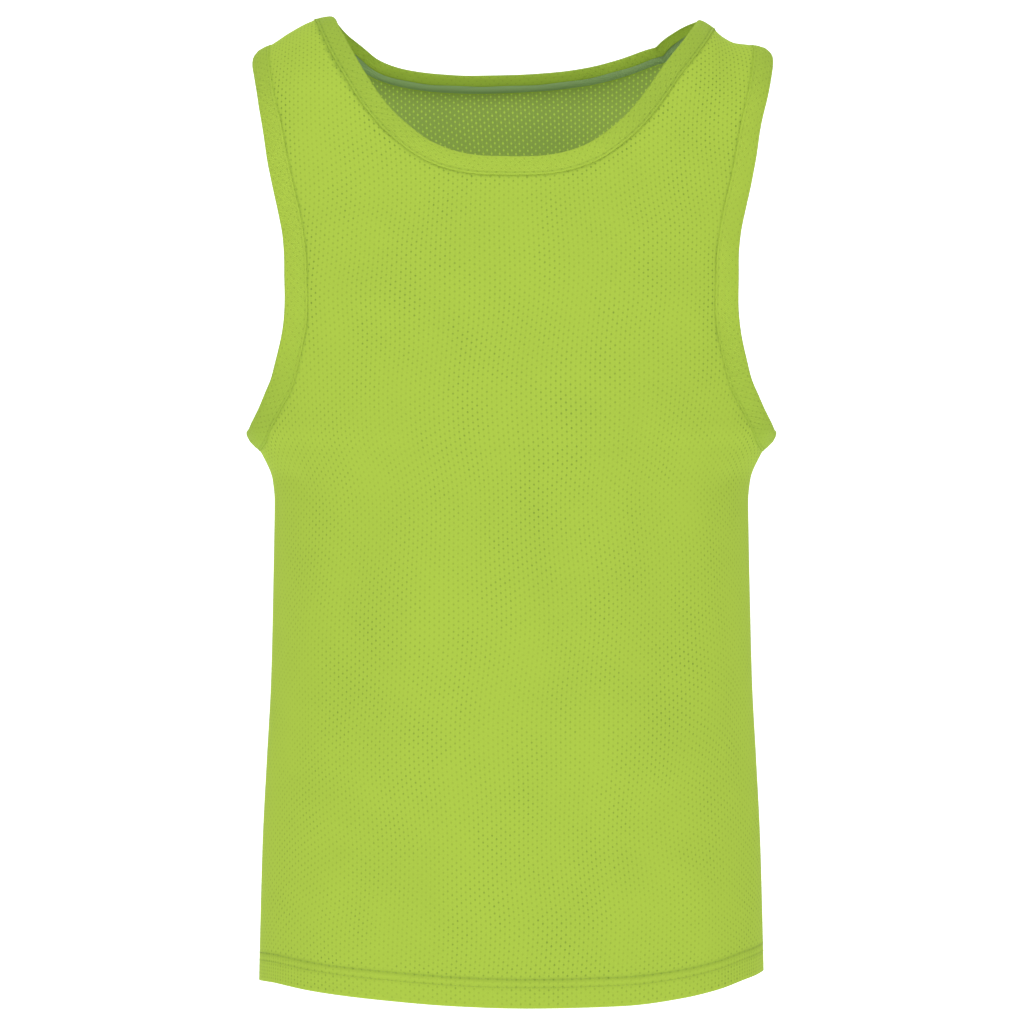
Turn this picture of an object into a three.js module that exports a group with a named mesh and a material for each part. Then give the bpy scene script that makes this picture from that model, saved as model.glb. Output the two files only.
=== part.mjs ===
// Mesh training bib, worn shape: a sleeveless pull-on top of eyelet mesh with bound neck and armholes.
// Millimetres, +Z up. The front of the bib faces -Y and the wearer's left is +X.
// The origin lies between the two shoulders, at the height where the cloth rests on them.

import * as THREE from 'three';

// Driving sizes of the cloth
const CLOTH_WALL = 1.2;
const HEM_WALL = 2.4;
const BINDING_WALL = 2.4;
const SEAM_GAP = 0.3;
const NECK_BINDING_WIDTH = 13;
const ARMHOLE_BINDING_WIDTH = 16;
const BINDING_ROUNDNESS = 0.9;
const BINDING_NOSE = 0.84;
const HEM_DEPTH = 21;
const HEM_STEP = 1.2;

// Driving sizes of the worn form
const SECTION_POWER = 2.1;
const SHOULDER_RADIUS = 60;
const SHOULDER_LEVEL = -20;
const UNDERARM_Z = -311;
const SHOULDER_TIP_ANGLE = 50.4;

// The foot of the back neck rises towards the wearer's left by this slope, which ends at its sides.
// Its place is settled in a few passes.
const BACK_NECK_TILT = 0.04;
const BACK_NECK_TILT_FADE = 20;
const NECK_PASSES = 12;

// Level sections of the body: half width at the side seams, and depth in front and behind.
// Above the underarm the half width is where the section would close if no armhole were cut.
const SECTIONS = [
  { z: -712, half: 189.2, front: 118, back: 106 },
  { z: -664, half: 188.1, front: 120, back: 105 },
  { z: -604, half: 186.4, front: 123, back: 103 },
  { z: -544, half: 183.4, front: 126, back: 101 },
  { z: -484, half: 180.2, front: 128, back: 100 },
  { z: -424, half: 178.6, front: 129, back: 100 },
  { z: -379, half: 177.7, front: 130, back: 101 },
  { z: -349, half: 177.3, front: 131, back: 103 },
  { z: -334, half: 179.0, front: 131, back: 104 },
  { z: -319, half: 184.6, front: 131, back: 105 },
  { z: -310, half: 189.5, front: 130, back: 106 },
  { z: -298, half: 198.4, front: 130, back: 107 },
  { z: -285, half: 203.0, front: 129, back: 108 },
  { z: -260, half: 210.0, front: 128, back: 110 },
  { z: -200, half: 217.0, front: 121, back: 112 },
  { z: -120, half: 223.0, front: 103, back: 104 },
  { z: -60, half: 229.0, front: 90, back: 88 },
  { z: SHOULDER_LEVEL, half: 232.0, front: 86, back: 78 },
];

// Height of the hem's edge by the angle round the body, negative on the wearer's right. It droops in the
// middle of each panel and is drawn up towards the wearer's left.
const HEM_LINE = {
  front: [
    { angle: -90, z: -708 },
    { angle: -80, z: -705.4 },
    { angle: -66, z: -703.4 },
    { angle: -48, z: -705.4 },
    { angle: -28, z: -708.2 },
    { angle: -12, z: -710.8 },
    { angle: 4, z: -712.2 },
    { angle: 24, z: -711.8 },
    { angle: 40, z: -708.5 },
    { angle: 52, z: -704.8 },
    { angle: 66, z: -700.2 },
    { angle: 80, z: -699 },
    { angle: 90, z: -700.5 },
  ],
  back: [
    { angle: -90, z: -708 },
    { angle: -60, z: -706.5 },
    { angle: -30, z: -709 },
    { angle: 0, z: -710.3 },
    { angle: 30, z: -709.4 },
    { angle: 60, z: -704.4 },
    { angle: 90, z: -700.5 },
  ],
};

// Height of the shoulder seam across the body. The wearer's left shoulder, +X, dips a little more.
const RIDGE = [
  { x: -205, z: -19 },
  { x: -194, z: -14 },
  { x: -181, z: -8.6 },
  { x: -166, z: 0.9 },
  { x: -151, z: 8.8 },
  { x: -136, z: 13.4 },
  { x: -100, z: 16 },
  { x: 0, z: 16 },
  { x: 100, z: 16 },
  { x: 134, z: 11.6 },
  { x: 149, z: 5.4 },
  { x: 157, z: -1.6 },
  { x: 167, z: -6.6 },
  { x: 180, z: -8.2 },
  { x: 194, z: -14 },
  { x: 205, z: -19 },
];

// Seam of the neck binding for one side of the body. The foot is the scoop, by its place seen from the
// front. The side starts at a length up the cloth and goes on to the shoulder, by the share of the way and
// the angle in degrees round the body from its centre line, on the wearer's right (-X) and left (+X).
const NECK_FOOT = {
  front: [
    { x: 0, z: -114 },
    { x: 23, z: -113.6 },
    { x: 37, z: -111.5 },
    { x: 51, z: -107.5 },
    { x: 65, z: -101 },
    { x: 79, z: -91 },
    { x: 93, z: -78.5 },
  ],
  back: [
    { x: 0, z: -31.8 },
    { x: 30, z: -31.3 },
    { x: 60, z: -29 },
    { x: 85, z: -24.8 },
    { x: 105, z: -18.6 },
    { x: 120, z: -12 },
  ],
};
const NECK_SIDE_UP = { front: -78.5, back: -7.5 };
const NECK_SIDE = {
  front: [
    { way: 0, right: 23.04, left: 23.04 },
    { way: 0.1, right: 25.9, left: 25.7 },
    { way: 0.24, right: 29.1, left: 28.9 },
    { way: 0.39, right: 31.9, left: 32.1 },
    { way: 0.51, right: 33.9, left: 34.8 },
    { way: 0.67, right: 36, left: 37.6 },
    { way: 0.86, right: 37.5, left: 39.2 },
    { way: 1, right: 38.3, left: 39.8 },
  ],
  back: [
    { way: 0, right: 30, left: 30 },
    { way: 0.2, right: 33.2, left: 31 },
    { way: 0.42, right: 35.6, left: 33.8 },
    { way: 0.7, right: 37.2, left: 37 },
    { way: 1, right: 38.3, left: 39.8 },
  ],
};

// Seam of the armhole binding: under the arm by the angle round the body, and then up beside the chest by
// the length up the cloth
const UNDERARM_SEAM = {
  front: [
    { angle: 54, z: -280.5 },
    { angle: 59.2, z: -292 },
    { angle: 66.5, z: -303 },
    { angle: 74, z: -308.2 },
    { angle: 82, z: -310.7 },
    { angle: 90, z: UNDERARM_Z },
  ],
  back: [
    { angle: 54, z: -272 },
    { angle: 61, z: -291 },
    { angle: 69, z: -302.5 },
    { angle: 76, z: -307.5 },
    { angle: 83, z: -310.2 },
    { angle: 90, z: UNDERARM_Z },
  ],
};
const CHEST_SEAM = {
  front: [
    { up: -280.5, angle: 54 },
    { up: -268, angle: 49.2 },
    { up: -248, angle: 45.8 },
    { up: -221, angle: 43 },
    { up: -203, angle: 42.2 },
    { up: -172, angle: 42.2 },
    { up: -153, angle: 42.7 },
    { up: -117, angle: 45.1 },
    { up: -94, angle: 46.3 },
    { up: -71, angle: 47.4 },
    { up: -50, angle: 48.9 },
    { up: -10, angle: SHOULDER_TIP_ANGLE },
  ],
  back: [
    { up: -272, angle: 54 },
    { up: -240, angle: 48 },
    { up: -200, angle: 45.6 },
    { up: -150, angle: 45.8 },
    { up: -100, angle: 47.6 },
    { up: -55, angle: 49.4 },
    { up: -10, angle: SHOULDER_TIP_ANGLE },
  ],
};

// How far each binding leans in towards the body from the cloth beside it, in degrees, by height. They turn
// down over the shoulder, and the armhole's stands out beside the chest.
const BINDING_LEAN = {
  neck: [
    { z: -120, lean: 0 },
    { z: -25, lean: 0 },
    { z: -5, lean: 5 },
    { z: 6, lean: 11 },
    { z: 16, lean: 14 },
  ],
  armhole: [
    { z: UNDERARM_Z, lean: 0 },
    { z: -300, lean: -6 },
    { z: -285, lean: -14 },
    { z: -262, lean: -24 },
    { z: -240, lean: -21 },
    { z: -219, lean: -18 },
    { z: -184, lean: -12 },
    { z: -161, lean: -3 },
    { z: -146, lean: 3 },
    { z: -132, lean: 4 },
    { z: -95, lean: 6 },
    { z: -72, lean: 15 },
    { z: -30, lean: 15 },
    { z: 0, lean: 13 },
  ],
};

// Soft folds, each a line from one place to another that bows sideways, its half width and its height,
// which is below zero for a trough. Hand 0 is on both halves of the panel, 1 on the +X half alone.
const FOLDS = {
  front: [
    { hand: 0, fromX: 0, fromZ: -150, toX: 0, toZ: -400, bow: 0, width: 15, height: 1.6 },
    { hand: 0, fromX: 31, fromZ: -120, toX: 29, toZ: -215, bow: 0, width: 13, height: 1.8 },
    { hand: 0, fromX: 14, fromZ: -190, toX: 32, toZ: -440, bow: -3, width: 14, height: -2.2 },
    { hand: 0, fromX: 148, fromZ: -126, toX: 50, toZ: -165, bow: -16, width: 15, height: -2.2 },
    { hand: 0, fromX: 145, fromZ: -176, toX: 44, toZ: -222, bow: -20, width: 16, height: -2.6 },
    { hand: 0, fromX: 140, fromZ: -228, toX: 36, toZ: -280, bow: -20, width: 17, height: -2.6 },
    { hand: 0, fromX: 148, fromZ: -150, toX: 60, toZ: -185, bow: -16, width: 13, height: 1.4 },
    { hand: 0, fromX: 143, fromZ: -200, toX: 58, toZ: -245, bow: -18, width: 14, height: 1.4 },
    { hand: 0, fromX: 108, fromZ: -330, toX: 110, toZ: -520, bow: 4, width: 20, height: -2.4 },
    { hand: 0, fromX: 74, fromZ: -340, toX: 70, toZ: -540, bow: -4, width: 18, height: 2.0 },
    { hand: 0, fromX: 140, fromZ: -350, toX: 142, toZ: -560, bow: 3, width: 18, height: 2.2 },
    { hand: 0, fromX: 150, fromZ: -545, toX: 62, toZ: -690, bow: -34, width: 16, height: -2.8 },
    { hand: 0, fromX: 112, fromZ: -600, toX: 118, toZ: -690, bow: 22, width: 16, height: 2.2 },
    { hand: 1, fromX: 166, fromZ: -20, toX: 122, toZ: -96, bow: 6, width: 26, height: -3.5 },
  ],
  back: [
    { hand: 0, fromX: 0, fromZ: -60, toX: 0, toZ: -330, bow: 0, width: 26, height: -3.0 },
    { hand: 0, fromX: 146, fromZ: -120, toX: 60, toZ: -190, bow: -18, width: 17, height: -2.6 },
    { hand: 0, fromX: 144, fromZ: -190, toX: 50, toZ: -262, bow: -20, width: 18, height: -2.8 },
    { hand: 0, fromX: 60, fromZ: -300, toX: 56, toZ: -620, bow: 8, width: 22, height: 3.0 },
    { hand: 0, fromX: 100, fromZ: -290, toX: 106, toZ: -600, bow: -6, width: 20, height: -2.8 },
    { hand: 0, fromX: 140, fromZ: -340, toX: 138, toZ: -640, bow: 4, width: 20, height: 2.4 },
    { hand: 1, fromX: 26, fromZ: -420, toX: 30, toZ: -690, bow: -4, width: 18, height: -2.2 },
  ],
};

// Share of its length that a fold keeps its height over at each end, and the distance from the shoulder
// seam over which the folds fade out
const FOLD_END = 0.04;
const SHOULDER_FADE = 30;

// How finely each panel is drawn: columns from the centre line to the side of the neck, on to the
// armhole and on to the side seam, and rows from the hem to the foot of the armhole, on to the side of
// the neck and on to the shoulder
const MESHES = {
  front: { neck: 6, shoulder: 7, underarm: 6, body: 18, chest: 10, strap: 9 },
  back: { neck: 7, shoulder: 5, underarm: 5, body: 15, chest: 13, strap: 6 },
};

// Which way each panel faces along Y
const FACING = { front: -1, back: 1 };

// Colours of the dyed mesh, the bindings a little deeper because they are doubled
const LIME = '#aecb4b';
const BINDING_LIME = '#a9c649';

// A smooth curve through one column of a table, with no overshoot between its rows
function smooth(table, place, column, at) {
  const last = table.length - 1;
  const held = THREE.MathUtils.clamp(at, table[0][place], table[last][place]);
  let row = 0;
  while (row < last - 1 && held > table[row + 1][place]) row += 1;
  const gap = (i) => table[i + 1][place] - table[i][place];
  const rise = (i) => (table[i + 1][column] - table[i][column]) / gap(i);
  const slope = (i) => {
    if (i === 0) return rise(0);
    if (i === last) return rise(last - 1);
    if (rise(i - 1) * rise(i) <= 0) return 0;
    const before = 2 * gap(i) + gap(i - 1);
    const after = gap(i) + 2 * gap(i - 1);
    return (before + after) / (before / rise(i - 1) + after / rise(i));
  };
  const step = gap(row);
  const t = (held - table[row][place]) / step;
  const start = (1 + 2 * t) * (1 - t) ** 2 * table[row][column] + t * (1 - t) ** 2 * step * slope(row);
  const end = t * t * (3 - 2 * t) * table[row + 1][column] + t * t * (t - 1) * step * slope(row + 1);
  return start + end;
}

// Size of the level section at a height, such as its half width
function section(column, z) {
  return smooth(SECTIONS, 'z', column, z);
}

// Height of the shoulder seam over a place
function ridgeHeight(x) {
  return smooth(RIDGE, 'x', 'z', x);
}

// Half width and depth of the superellipse at an angle round the body, as shares of its largest
function sectionShape(angle) {
  const turn = THREE.MathUtils.degToRad(Math.abs(angle));
  const across = Math.sign(angle) * Math.sin(turn) ** (2 / SECTION_POWER);
  const deep = Math.max(Math.cos(turn), 0) ** (2 / SECTION_POWER);
  return { across, deep };
}

// Cloth length of the quarter turn over the shoulder, for a share of the section's depth
function shoulderLength(side, deep) {
  const depth = section(side, SHOULDER_LEVEL) * deep;
  return (Math.PI / 2) * Math.sqrt((SHOULDER_RADIUS ** 2 + depth ** 2) / 2);
}

// Place on the smooth form for an angle round the body and a length up the cloth.
// The length equals the height until the cloth starts to turn over the shoulder.
function formPoint(side, angle, up) {
  const { across, deep } = sectionShape(angle);
  const x = section('half', up) * across;
  const turnStart = ridgeHeight(x) - SHOULDER_RADIUS;
  const turn = Math.max(0, (up - turnStart) / shoulderLength(side, deep)) * (Math.PI / 2);
  const z = Math.min(up, turnStart) + SHOULDER_RADIUS * Math.sin(turn);
  const y = FACING[side] * section(side, up) * deep * Math.cos(turn);
  return new THREE.Vector3(x, y, z);
}

// Length up the cloth at a place that is known by its x, its angle round the body and its height
function clothLength(side, x, angle, z) {
  const turnStart = ridgeHeight(x) - SHOULDER_RADIUS;
  if (z <= turnStart) return z;
  const turn = Math.asin(Math.min(1, (z - turnStart) / SHOULDER_RADIUS));
  return turnStart + (shoulderLength(side, sectionShape(angle).deep) * turn) / (Math.PI / 2);
}

// Height of the folds over the smooth form, fading out towards the shoulder seam
function foldHeight(side, x, z) {
  let total = 0;
  for (const fold of FOLDS[side]) {
    if (fold.hand * x < 0) continue;
    const along = new THREE.Vector2(fold.toX - fold.fromX, fold.toZ - fold.fromZ);
    const length = along.length();
    along.normalize();
    const away = new THREE.Vector2(Math.abs(x) - fold.fromX, z - fold.fromZ);
    const t = THREE.MathUtils.clamp(away.dot(along) / length, 0, 1);
    const aside = away.dot(new THREE.Vector2(-along.y, along.x)) - fold.bow * 4 * t * (1 - t);
    const beyond = away.dot(along) - t * length;
    const distance = Math.hypot(aside, beyond) / fold.width;
    const fade = Math.sqrt(Math.sin(Math.PI * THREE.MathUtils.clamp(t, FOLD_END, 1 - FOLD_END)));
    total += fold.height * fade * Math.exp(-distance * distance);
  }
  return total * THREE.MathUtils.smoothstep(ridgeHeight(x) - z, 0, SHOULDER_FADE);
}

// Place and outward normal of the cloth's middle surface
function clothPoint(side, angle, up) {
  const angleStep = 0.5;
  const upStep = 1.5;
  const place = formPoint(side, angle, up);
  const inward = formPoint(side, Math.max(angle - angleStep, -90), up);
  const outward = formPoint(side, Math.min(angle + angleStep, 90), up);
  const below = formPoint(side, angle, up - upStep);
  const above = formPoint(side, angle, up + upStep);
  const normal = new THREE.Vector3().crossVectors(outward.sub(inward), above.sub(below));
  normal.normalize().multiplyScalar(-FACING[side]);
  place.addScaledVector(normal, foldHeight(side, place.x, place.z));
  return { place, normal };
}

// Height of the hem's edge
function hemLevel(side, angle) {
  return smooth(HEM_LINE[side], 'angle', 'z', angle);
}

// Top of a column that ends on the foot of the neck, as a length up the cloth
function neckTop(side, angle) {
  const { across } = sectionShape(angle);
  const sideX = NECK_FOOT[side][NECK_FOOT[side].length - 1].x;
  let z = SHOULDER_LEVEL;
  let x = 0;
  for (let pass = 0; pass < NECK_PASSES; pass += 1) {
    x = section('half', z) * across;
    const fade = 1 - Math.min(1, Math.abs(x / sideX)) ** BACK_NECK_TILT_FADE;
    const tilt = side === 'back' ? BACK_NECK_TILT * x * fade : 0;
    z = smooth(NECK_FOOT[side], 'x', 'z', Math.abs(x)) + tilt;
  }
  return clothLength(side, x, angle, z);
}

// Top of a column that ends on the shoulder seam
function shoulderTop(side, angle) {
  const { across, deep } = sectionShape(angle);
  const x = section('half', SHOULDER_LEVEL) * across;
  return ridgeHeight(x) - SHOULDER_RADIUS + shoulderLength(side, deep);
}

// Where the foot of the neck turns up into its side, as a share of the way to the armhole
function neckShare(side) {
  return NECK_SIDE[side][0].right / smooth(CHEST_SEAM[side], 'up', 'angle', NECK_SIDE_UP[side]);
}

// Columns of a panel from one side seam to the other: the angle round the body below the armhole, and
// above it the share of the way from the centre line to the armhole, or null for a column that ends there
function panelColumns(side) {
  const { neck, shoulder, underarm } = MESHES[side];
  const footAngle = UNDERARM_SEAM[side][0].angle;
  const neckAt = neckShare(side);
  const half = [];
  for (let i = 1; i <= neck; i += 1) half.push({ share: (neckAt * i) / neck });
  for (let i = 1; i <= shoulder; i += 1) half.push({ share: neckAt + ((1 - neckAt) * i) / shoulder });
  for (const column of half) column.angle = footAngle * column.share;
  for (let i = 1; i <= underarm; i += 1) {
    half.push({ share: null, angle: footAngle + ((90 - footAngle) * i) / underarm });
  }
  const mirrored = half.map(({ share, angle }) => ({ share: share === null ? null : -share, angle: -angle }));
  return [...mirrored.reverse(), { share: 0, angle: 0 }, ...half];
}

// Rows of a panel from the hem to its top edge, each with its wall thickness and its places. A row has
// no places beyond the armhole, nor in the neck.
function panelGrid(side) {
  const { body, chest, strap } = MESHES[side];
  const columns = panelColumns(side);
  const foot = UNDERARM_SEAM[side][0].z;
  const neckSide = NECK_SIDE_UP[side];
  const neckAt = neckShare(side);
  const grid = [];
  const addRow = (wall, pointAt) => grid.push({ wall, points: columns.map(pointAt) });
  addRow(HEM_WALL, ({ angle }) => clothPoint(side, angle, hemLevel(side, angle)));
  addRow(HEM_WALL, ({ angle }) => clothPoint(side, angle, hemLevel(side, angle) + HEM_DEPTH));
  for (let row = 0; row <= body; row += 1) {
    addRow(CLOTH_WALL, ({ angle }) => {
      const start = hemLevel(side, angle) + HEM_DEPTH + HEM_STEP;
      const top = smooth(UNDERARM_SEAM[side], 'angle', 'z', Math.abs(angle));
      return clothPoint(side, angle, start + ((top - start) * row) / body);
    });
  }
  for (let row = 1; row <= chest; row += 1) {
    addRow(CLOTH_WALL, ({ share }) => {
      if (share === null) return null;
      const edgeUp = foot + ((neckSide - foot) * row) / chest;
      const angle = share * smooth(CHEST_SEAM[side], 'up', 'angle', edgeUp);
      const topAngle = share * smooth(CHEST_SEAM[side], 'up', 'angle', neckSide);
      const top = Math.abs(share) < neckAt ? neckTop(side, topAngle) : neckSide;
      return clothPoint(side, angle, foot + ((top - foot) * row) / chest);
    });
  }
  for (let row = 1; row <= strap; row += 1) {
    addRow(CLOTH_WALL, ({ share }) => {
      if (share === null || Math.abs(share) < neckAt) return null;
      const hand = Math.sign(share);
      const column = hand > 0 ? 'left' : 'right';
      const across = (Math.abs(share) - neckAt) / (1 - neckAt);
      const highPoint = NECK_SIDE[side][NECK_SIDE[side].length - 1][column];
      const upAt = (topAngle) => neckSide + ((shoulderTop(side, hand * topAngle) - neckSide) * row) / strap;
      const neckAngle = smooth(NECK_SIDE[side], 'way', column, row / strap);
      const armAngle = smooth(CHEST_SEAM[side], 'up', 'angle', upAt(SHOULDER_TIP_ANGLE));
      const angle = THREE.MathUtils.lerp(neckAngle, armAngle, across);
      const topAngle = THREE.MathUtils.lerp(highPoint, SHOULDER_TIP_ANGLE, across);
      return clothPoint(side, hand * angle, upAt(topAngle));
    });
  }
  return grid;
}

// A mesh from a list of places and of four-cornered faces
function facedMesh(name, vertices, faces, colour) {
  const geometry = new THREE.BufferGeometry();
  const numbers = vertices.flatMap((vertex) => vertex.toArray());
  geometry.setAttribute('position', new THREE.Float32BufferAttribute(numbers, 3));
  geometry.setIndex(faces.flatMap(([a, b, c, d]) => [a, b, c, a, c, d]));
  geometry.computeVertexNormals();
  const material = new THREE.MeshStandardMaterial({ color: colour, roughness: 0.85, metalness: 0 });
  const mesh = new THREE.Mesh(geometry, material);
  mesh.name = name;
  return mesh;
}

// A panel: its outer and inner faces, and its cut edges wherever no other face of it follows
function panel(side, grid) {
  const vertices = [];
  const numbers = grid.map(({ wall, points }) => points.map((point) => {
    if (point === null) return null;
    for (const depth of [CLOTH_WALL / 2, CLOTH_WALL / 2 - wall]) {
      const vertex = point.place.clone().addScaledVector(point.normal, depth);
      vertex.y = FACING[side] * Math.max(FACING[side] * vertex.y, SEAM_GAP / 2);
      vertices.push(vertex);
    }
    return vertices.length - 2;
  }));
  const cells = [];
  for (let r = 0; r < grid.length - 1; r += 1) {
    for (let c = 0; c < numbers[r].length - 1; c += 1) {
      const corners = [numbers[r][c], numbers[r][c + 1], numbers[r + 1][c + 1], numbers[r + 1][c]];
      if (corners.includes(null)) continue;
      cells.push(FACING[side] < 0 ? corners : corners.reverse());
    }
  }
  const edges = new Map();
  const faces = [];
  for (const corners of cells) {
    faces.push(corners);
    faces.push([...corners].reverse().map((corner) => corner + 1));
    corners.forEach((from, index) => {
      const to = corners[(index + 1) % corners.length];
      if (!edges.delete(`${to} ${from}`)) edges.set(`${from} ${to}`, [from, to]);
    });
  }
  for (const [from, to] of edges.values()) faces.push([to, from, from + 1, to + 1]);
  return facedMesh(side, vertices, faces, LIME);
}

// Outline of a folded binding cut across: distance from the seam, and height over the middle surface
function bindingOutline(width) {
  const half = BINDING_WALL / 2;
  const nose = BINDING_NOSE / 2;
  return [
    { out: SEAM_GAP, high: -half },
    { out: SEAM_GAP, high: half },
    { out: width - BINDING_ROUNDNESS, high: half },
    { out: width, high: nose },
    { out: width, high: -nose },
    { out: width - BINDING_ROUNDNESS, high: -half },
  ];
}

// A binding: its outline carried round a closed seam line that keeps the panels on its right hand side
function binding(name, kind, seamLine, width) {
  const outline = bindingOutline(width);
  const sides = outline.length;
  const count = seamLine.length;
  const vertices = seamLine.flatMap(({ place, normal }, index) => {
    const before = seamLine[(index + count - 1) % count].place;
    const after = seamLine[(index + 1) % count].place;
    const along = after.clone().sub(before).normalize();
    const away = new THREE.Vector3().crossVectors(along, normal).normalize();
    const upward = new THREE.Vector3().crossVectors(away, along);
    const leant = (direction) => direction.clone().applyAxisAngle(along, bindingLean(kind, place));
    return outline.map(({ out, high }) => {
      const atSeam = place.clone().addScaledVector(away, SEAM_GAP);
      if (out === SEAM_GAP) return atSeam.addScaledVector(upward, high);
      return atSeam.addScaledVector(leant(away), out - SEAM_GAP).addScaledVector(leant(upward), high);
    });
  });
  const faces = [];
  for (let index = 0; index < count; index += 1) {
    const here = index * sides;
    const next = ((index + 1) % count) * sides;
    for (let side = 0; side < sides; side += 1) {
      const other = (side + 1) % sides;
      faces.push([here + side, here + other, next + other, next + side]);
    }
  }
  return facedMesh(name, vertices, faces, BINDING_LIME);
}

// Seam line of the neck: along the front from the wearer's left to the right, and back behind
function neckSeam(front, back) {
  const edgeOf = (grid, side) => {
    const { neck, strap } = MESHES[side];
    const foot = grid[grid.length - 1 - strap].points;
    const centre = (foot.length - 1) / 2;
    const sideOf = (column) => grid.slice(-strap).map(({ points }) => points[column]);
    const scoop = foot.slice(centre - neck, centre + neck + 1);
    return [...sideOf(centre - neck).reverse(), ...scoop, ...sideOf(centre + neck)];
  };
  return edgeOf(front, 'front').reverse().concat(edgeOf(back, 'back').slice(1, -1));
}

// Seam line of an armhole: hand 1 goes up the front and down behind, hand -1 the other way round
function armholeSeam(front, back, hand) {
  const edgeOf = (grid, side) => {
    const { chest, strap, underarm } = MESHES[side];
    const inOrder = ({ points }) => (hand > 0 ? points : [...points].reverse());
    const foot = inOrder(grid[grid.length - 1 - chest - strap]);
    const under = foot.slice(-underarm - 1).reverse();
    const beside = grid.slice(-chest - strap).map((row) => inOrder(row)[foot.length - 1 - underarm]);
    return under.concat(beside);
  };
  const line = edgeOf(front, 'front').concat(edgeOf(back, 'back').slice(1, -1).reverse());
  return hand < 0 ? line.reverse() : line;
}

// Turn of a binding about its seam
function bindingLean(kind, place) {
  return THREE.MathUtils.degToRad(smooth(BINDING_LEAN[kind], 'z', 'lean', place.z));
}

const frontGrid = panelGrid('front');
const backGrid = panelGrid('back');
const bib = new THREE.Group();
bib.add(panel('front', frontGrid));
bib.add(panel('back', backGrid));
bib.add(binding('neck_binding', 'neck', neckSeam(frontGrid, backGrid), NECK_BINDING_WIDTH));
for (const { name, hand } of [
  { name: 'armhole_binding_left', hand: 1 },
  { name: 'armhole_binding_right', hand: -1 },
]) {
  bib.add(binding(name, 'armhole', armholeSeam(frontGrid, backGrid, hand), ARMHOLE_BINDING_WIDTH));
}

export default bib;
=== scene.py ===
"""Mesh training bib in its worn shape: thin eyelet cloth, folded bindings and sewing over the solid pieces.

Sizes are millimetres and angles are degrees unless a name says otherwise. +Z is up, the front of the bib
faces -Y and the wearer's left is +X. Blender's own units are metres.
"""

import logging
import math
from dataclasses import dataclass, field
from enum import Enum

import bpy
import numpy as np
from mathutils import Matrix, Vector


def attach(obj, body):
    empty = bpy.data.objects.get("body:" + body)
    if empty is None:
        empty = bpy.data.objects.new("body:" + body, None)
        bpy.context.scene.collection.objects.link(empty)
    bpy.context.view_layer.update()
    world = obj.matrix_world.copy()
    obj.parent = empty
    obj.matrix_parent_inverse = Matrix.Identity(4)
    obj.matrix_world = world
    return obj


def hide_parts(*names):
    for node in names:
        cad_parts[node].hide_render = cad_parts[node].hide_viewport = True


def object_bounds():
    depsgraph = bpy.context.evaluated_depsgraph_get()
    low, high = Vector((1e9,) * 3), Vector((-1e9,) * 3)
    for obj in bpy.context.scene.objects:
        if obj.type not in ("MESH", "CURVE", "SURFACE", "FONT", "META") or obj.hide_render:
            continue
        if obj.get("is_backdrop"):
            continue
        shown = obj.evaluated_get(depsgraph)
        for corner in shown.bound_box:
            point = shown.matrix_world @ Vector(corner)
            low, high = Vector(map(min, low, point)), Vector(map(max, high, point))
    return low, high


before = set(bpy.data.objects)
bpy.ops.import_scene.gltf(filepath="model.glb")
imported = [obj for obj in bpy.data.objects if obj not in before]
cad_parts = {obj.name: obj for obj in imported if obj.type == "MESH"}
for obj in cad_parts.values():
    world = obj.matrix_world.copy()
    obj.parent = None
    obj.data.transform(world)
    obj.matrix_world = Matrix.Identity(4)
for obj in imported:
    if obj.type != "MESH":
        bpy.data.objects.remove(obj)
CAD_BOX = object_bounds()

Array = np.ndarray
Place = tuple[float, float, float]
Node = bpy.types.Node
Socket = bpy.types.NodeSocket
Tree = bpy.types.NodeTree
LOG = logging.getLogger("bib")
MILLIMETRE = 0.001
FLAT_MAP = 1000.0


class Side(Enum):
    """The two panels, by the way along Y that they face."""

    FRONT = -1
    BACK = 1

    @property
    def label(self) -> str:
        """The panel's name."""
        return self.name.lower()


class Hand(Enum):
    """The two halves of the bib, by the sign of X."""

    RIGHT = -1
    LEFT = 1

    @property
    def label(self) -> str:
        """The half's name, from the wearer."""
        return self.name.lower()


@dataclass(frozen=True)
class Table:
    """Rows of sizes with named columns, read as smooth curves.

    Attributes:
        columns: the name of each column.
        rows: the sizes, one row for each section or place.
    """

    columns: tuple[str, ...]
    rows: tuple[tuple[float, ...], ...]

    def column(self, name: str) -> Array:
        """All the sizes in one column."""
        return np.array([row[self.columns.index(name)] for row in self.rows], dtype=float)

    def read(self, place: str, name: str, at: Array | float) -> Array:
        """Follow a smooth curve through one column, with no overshoot between the rows.

        Args:
            place: the column that says where each row lies.
            name: the column to read.
            at: the places to read it at, held inside the table's ends.

        Returns:
            The sizes at those places.
        """
        places, values = self.column(place), self.column(name)
        gap = np.diff(places)
        rise = np.diff(values) / gap
        before, after = 2 * gap[1:] + gap[:-1], gap[1:] + 2 * gap[:-1]
        level = rise[:-1] * rise[1:] <= 0
        first, second = np.where(level, 1.0, rise[:-1]), np.where(level, 1.0, rise[1:])
        between = np.where(level, 0.0, (before + after) / (before / first + after / second))
        slope = np.concatenate([rise[:1], between, rise[-1:]])
        held = np.clip(at, places[0], places[-1])
        row = np.clip(np.searchsorted(places, held) - 1, 0, len(gap) - 1)
        t = (held - places[row]) / gap[row]
        start = (1 + 2 * t) * (1 - t) ** 2 * values[row] + t * (1 - t) ** 2 * gap[row] * slope[row]
        return start + t * t * (3 - 2 * t) * values[row + 1] + t * t * (t - 1) * gap[row] * slope[row + 1]


FOLD_COLUMNS = ("hand", "from_x", "from_z", "to_x", "to_z", "bow", "width", "height")


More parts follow.
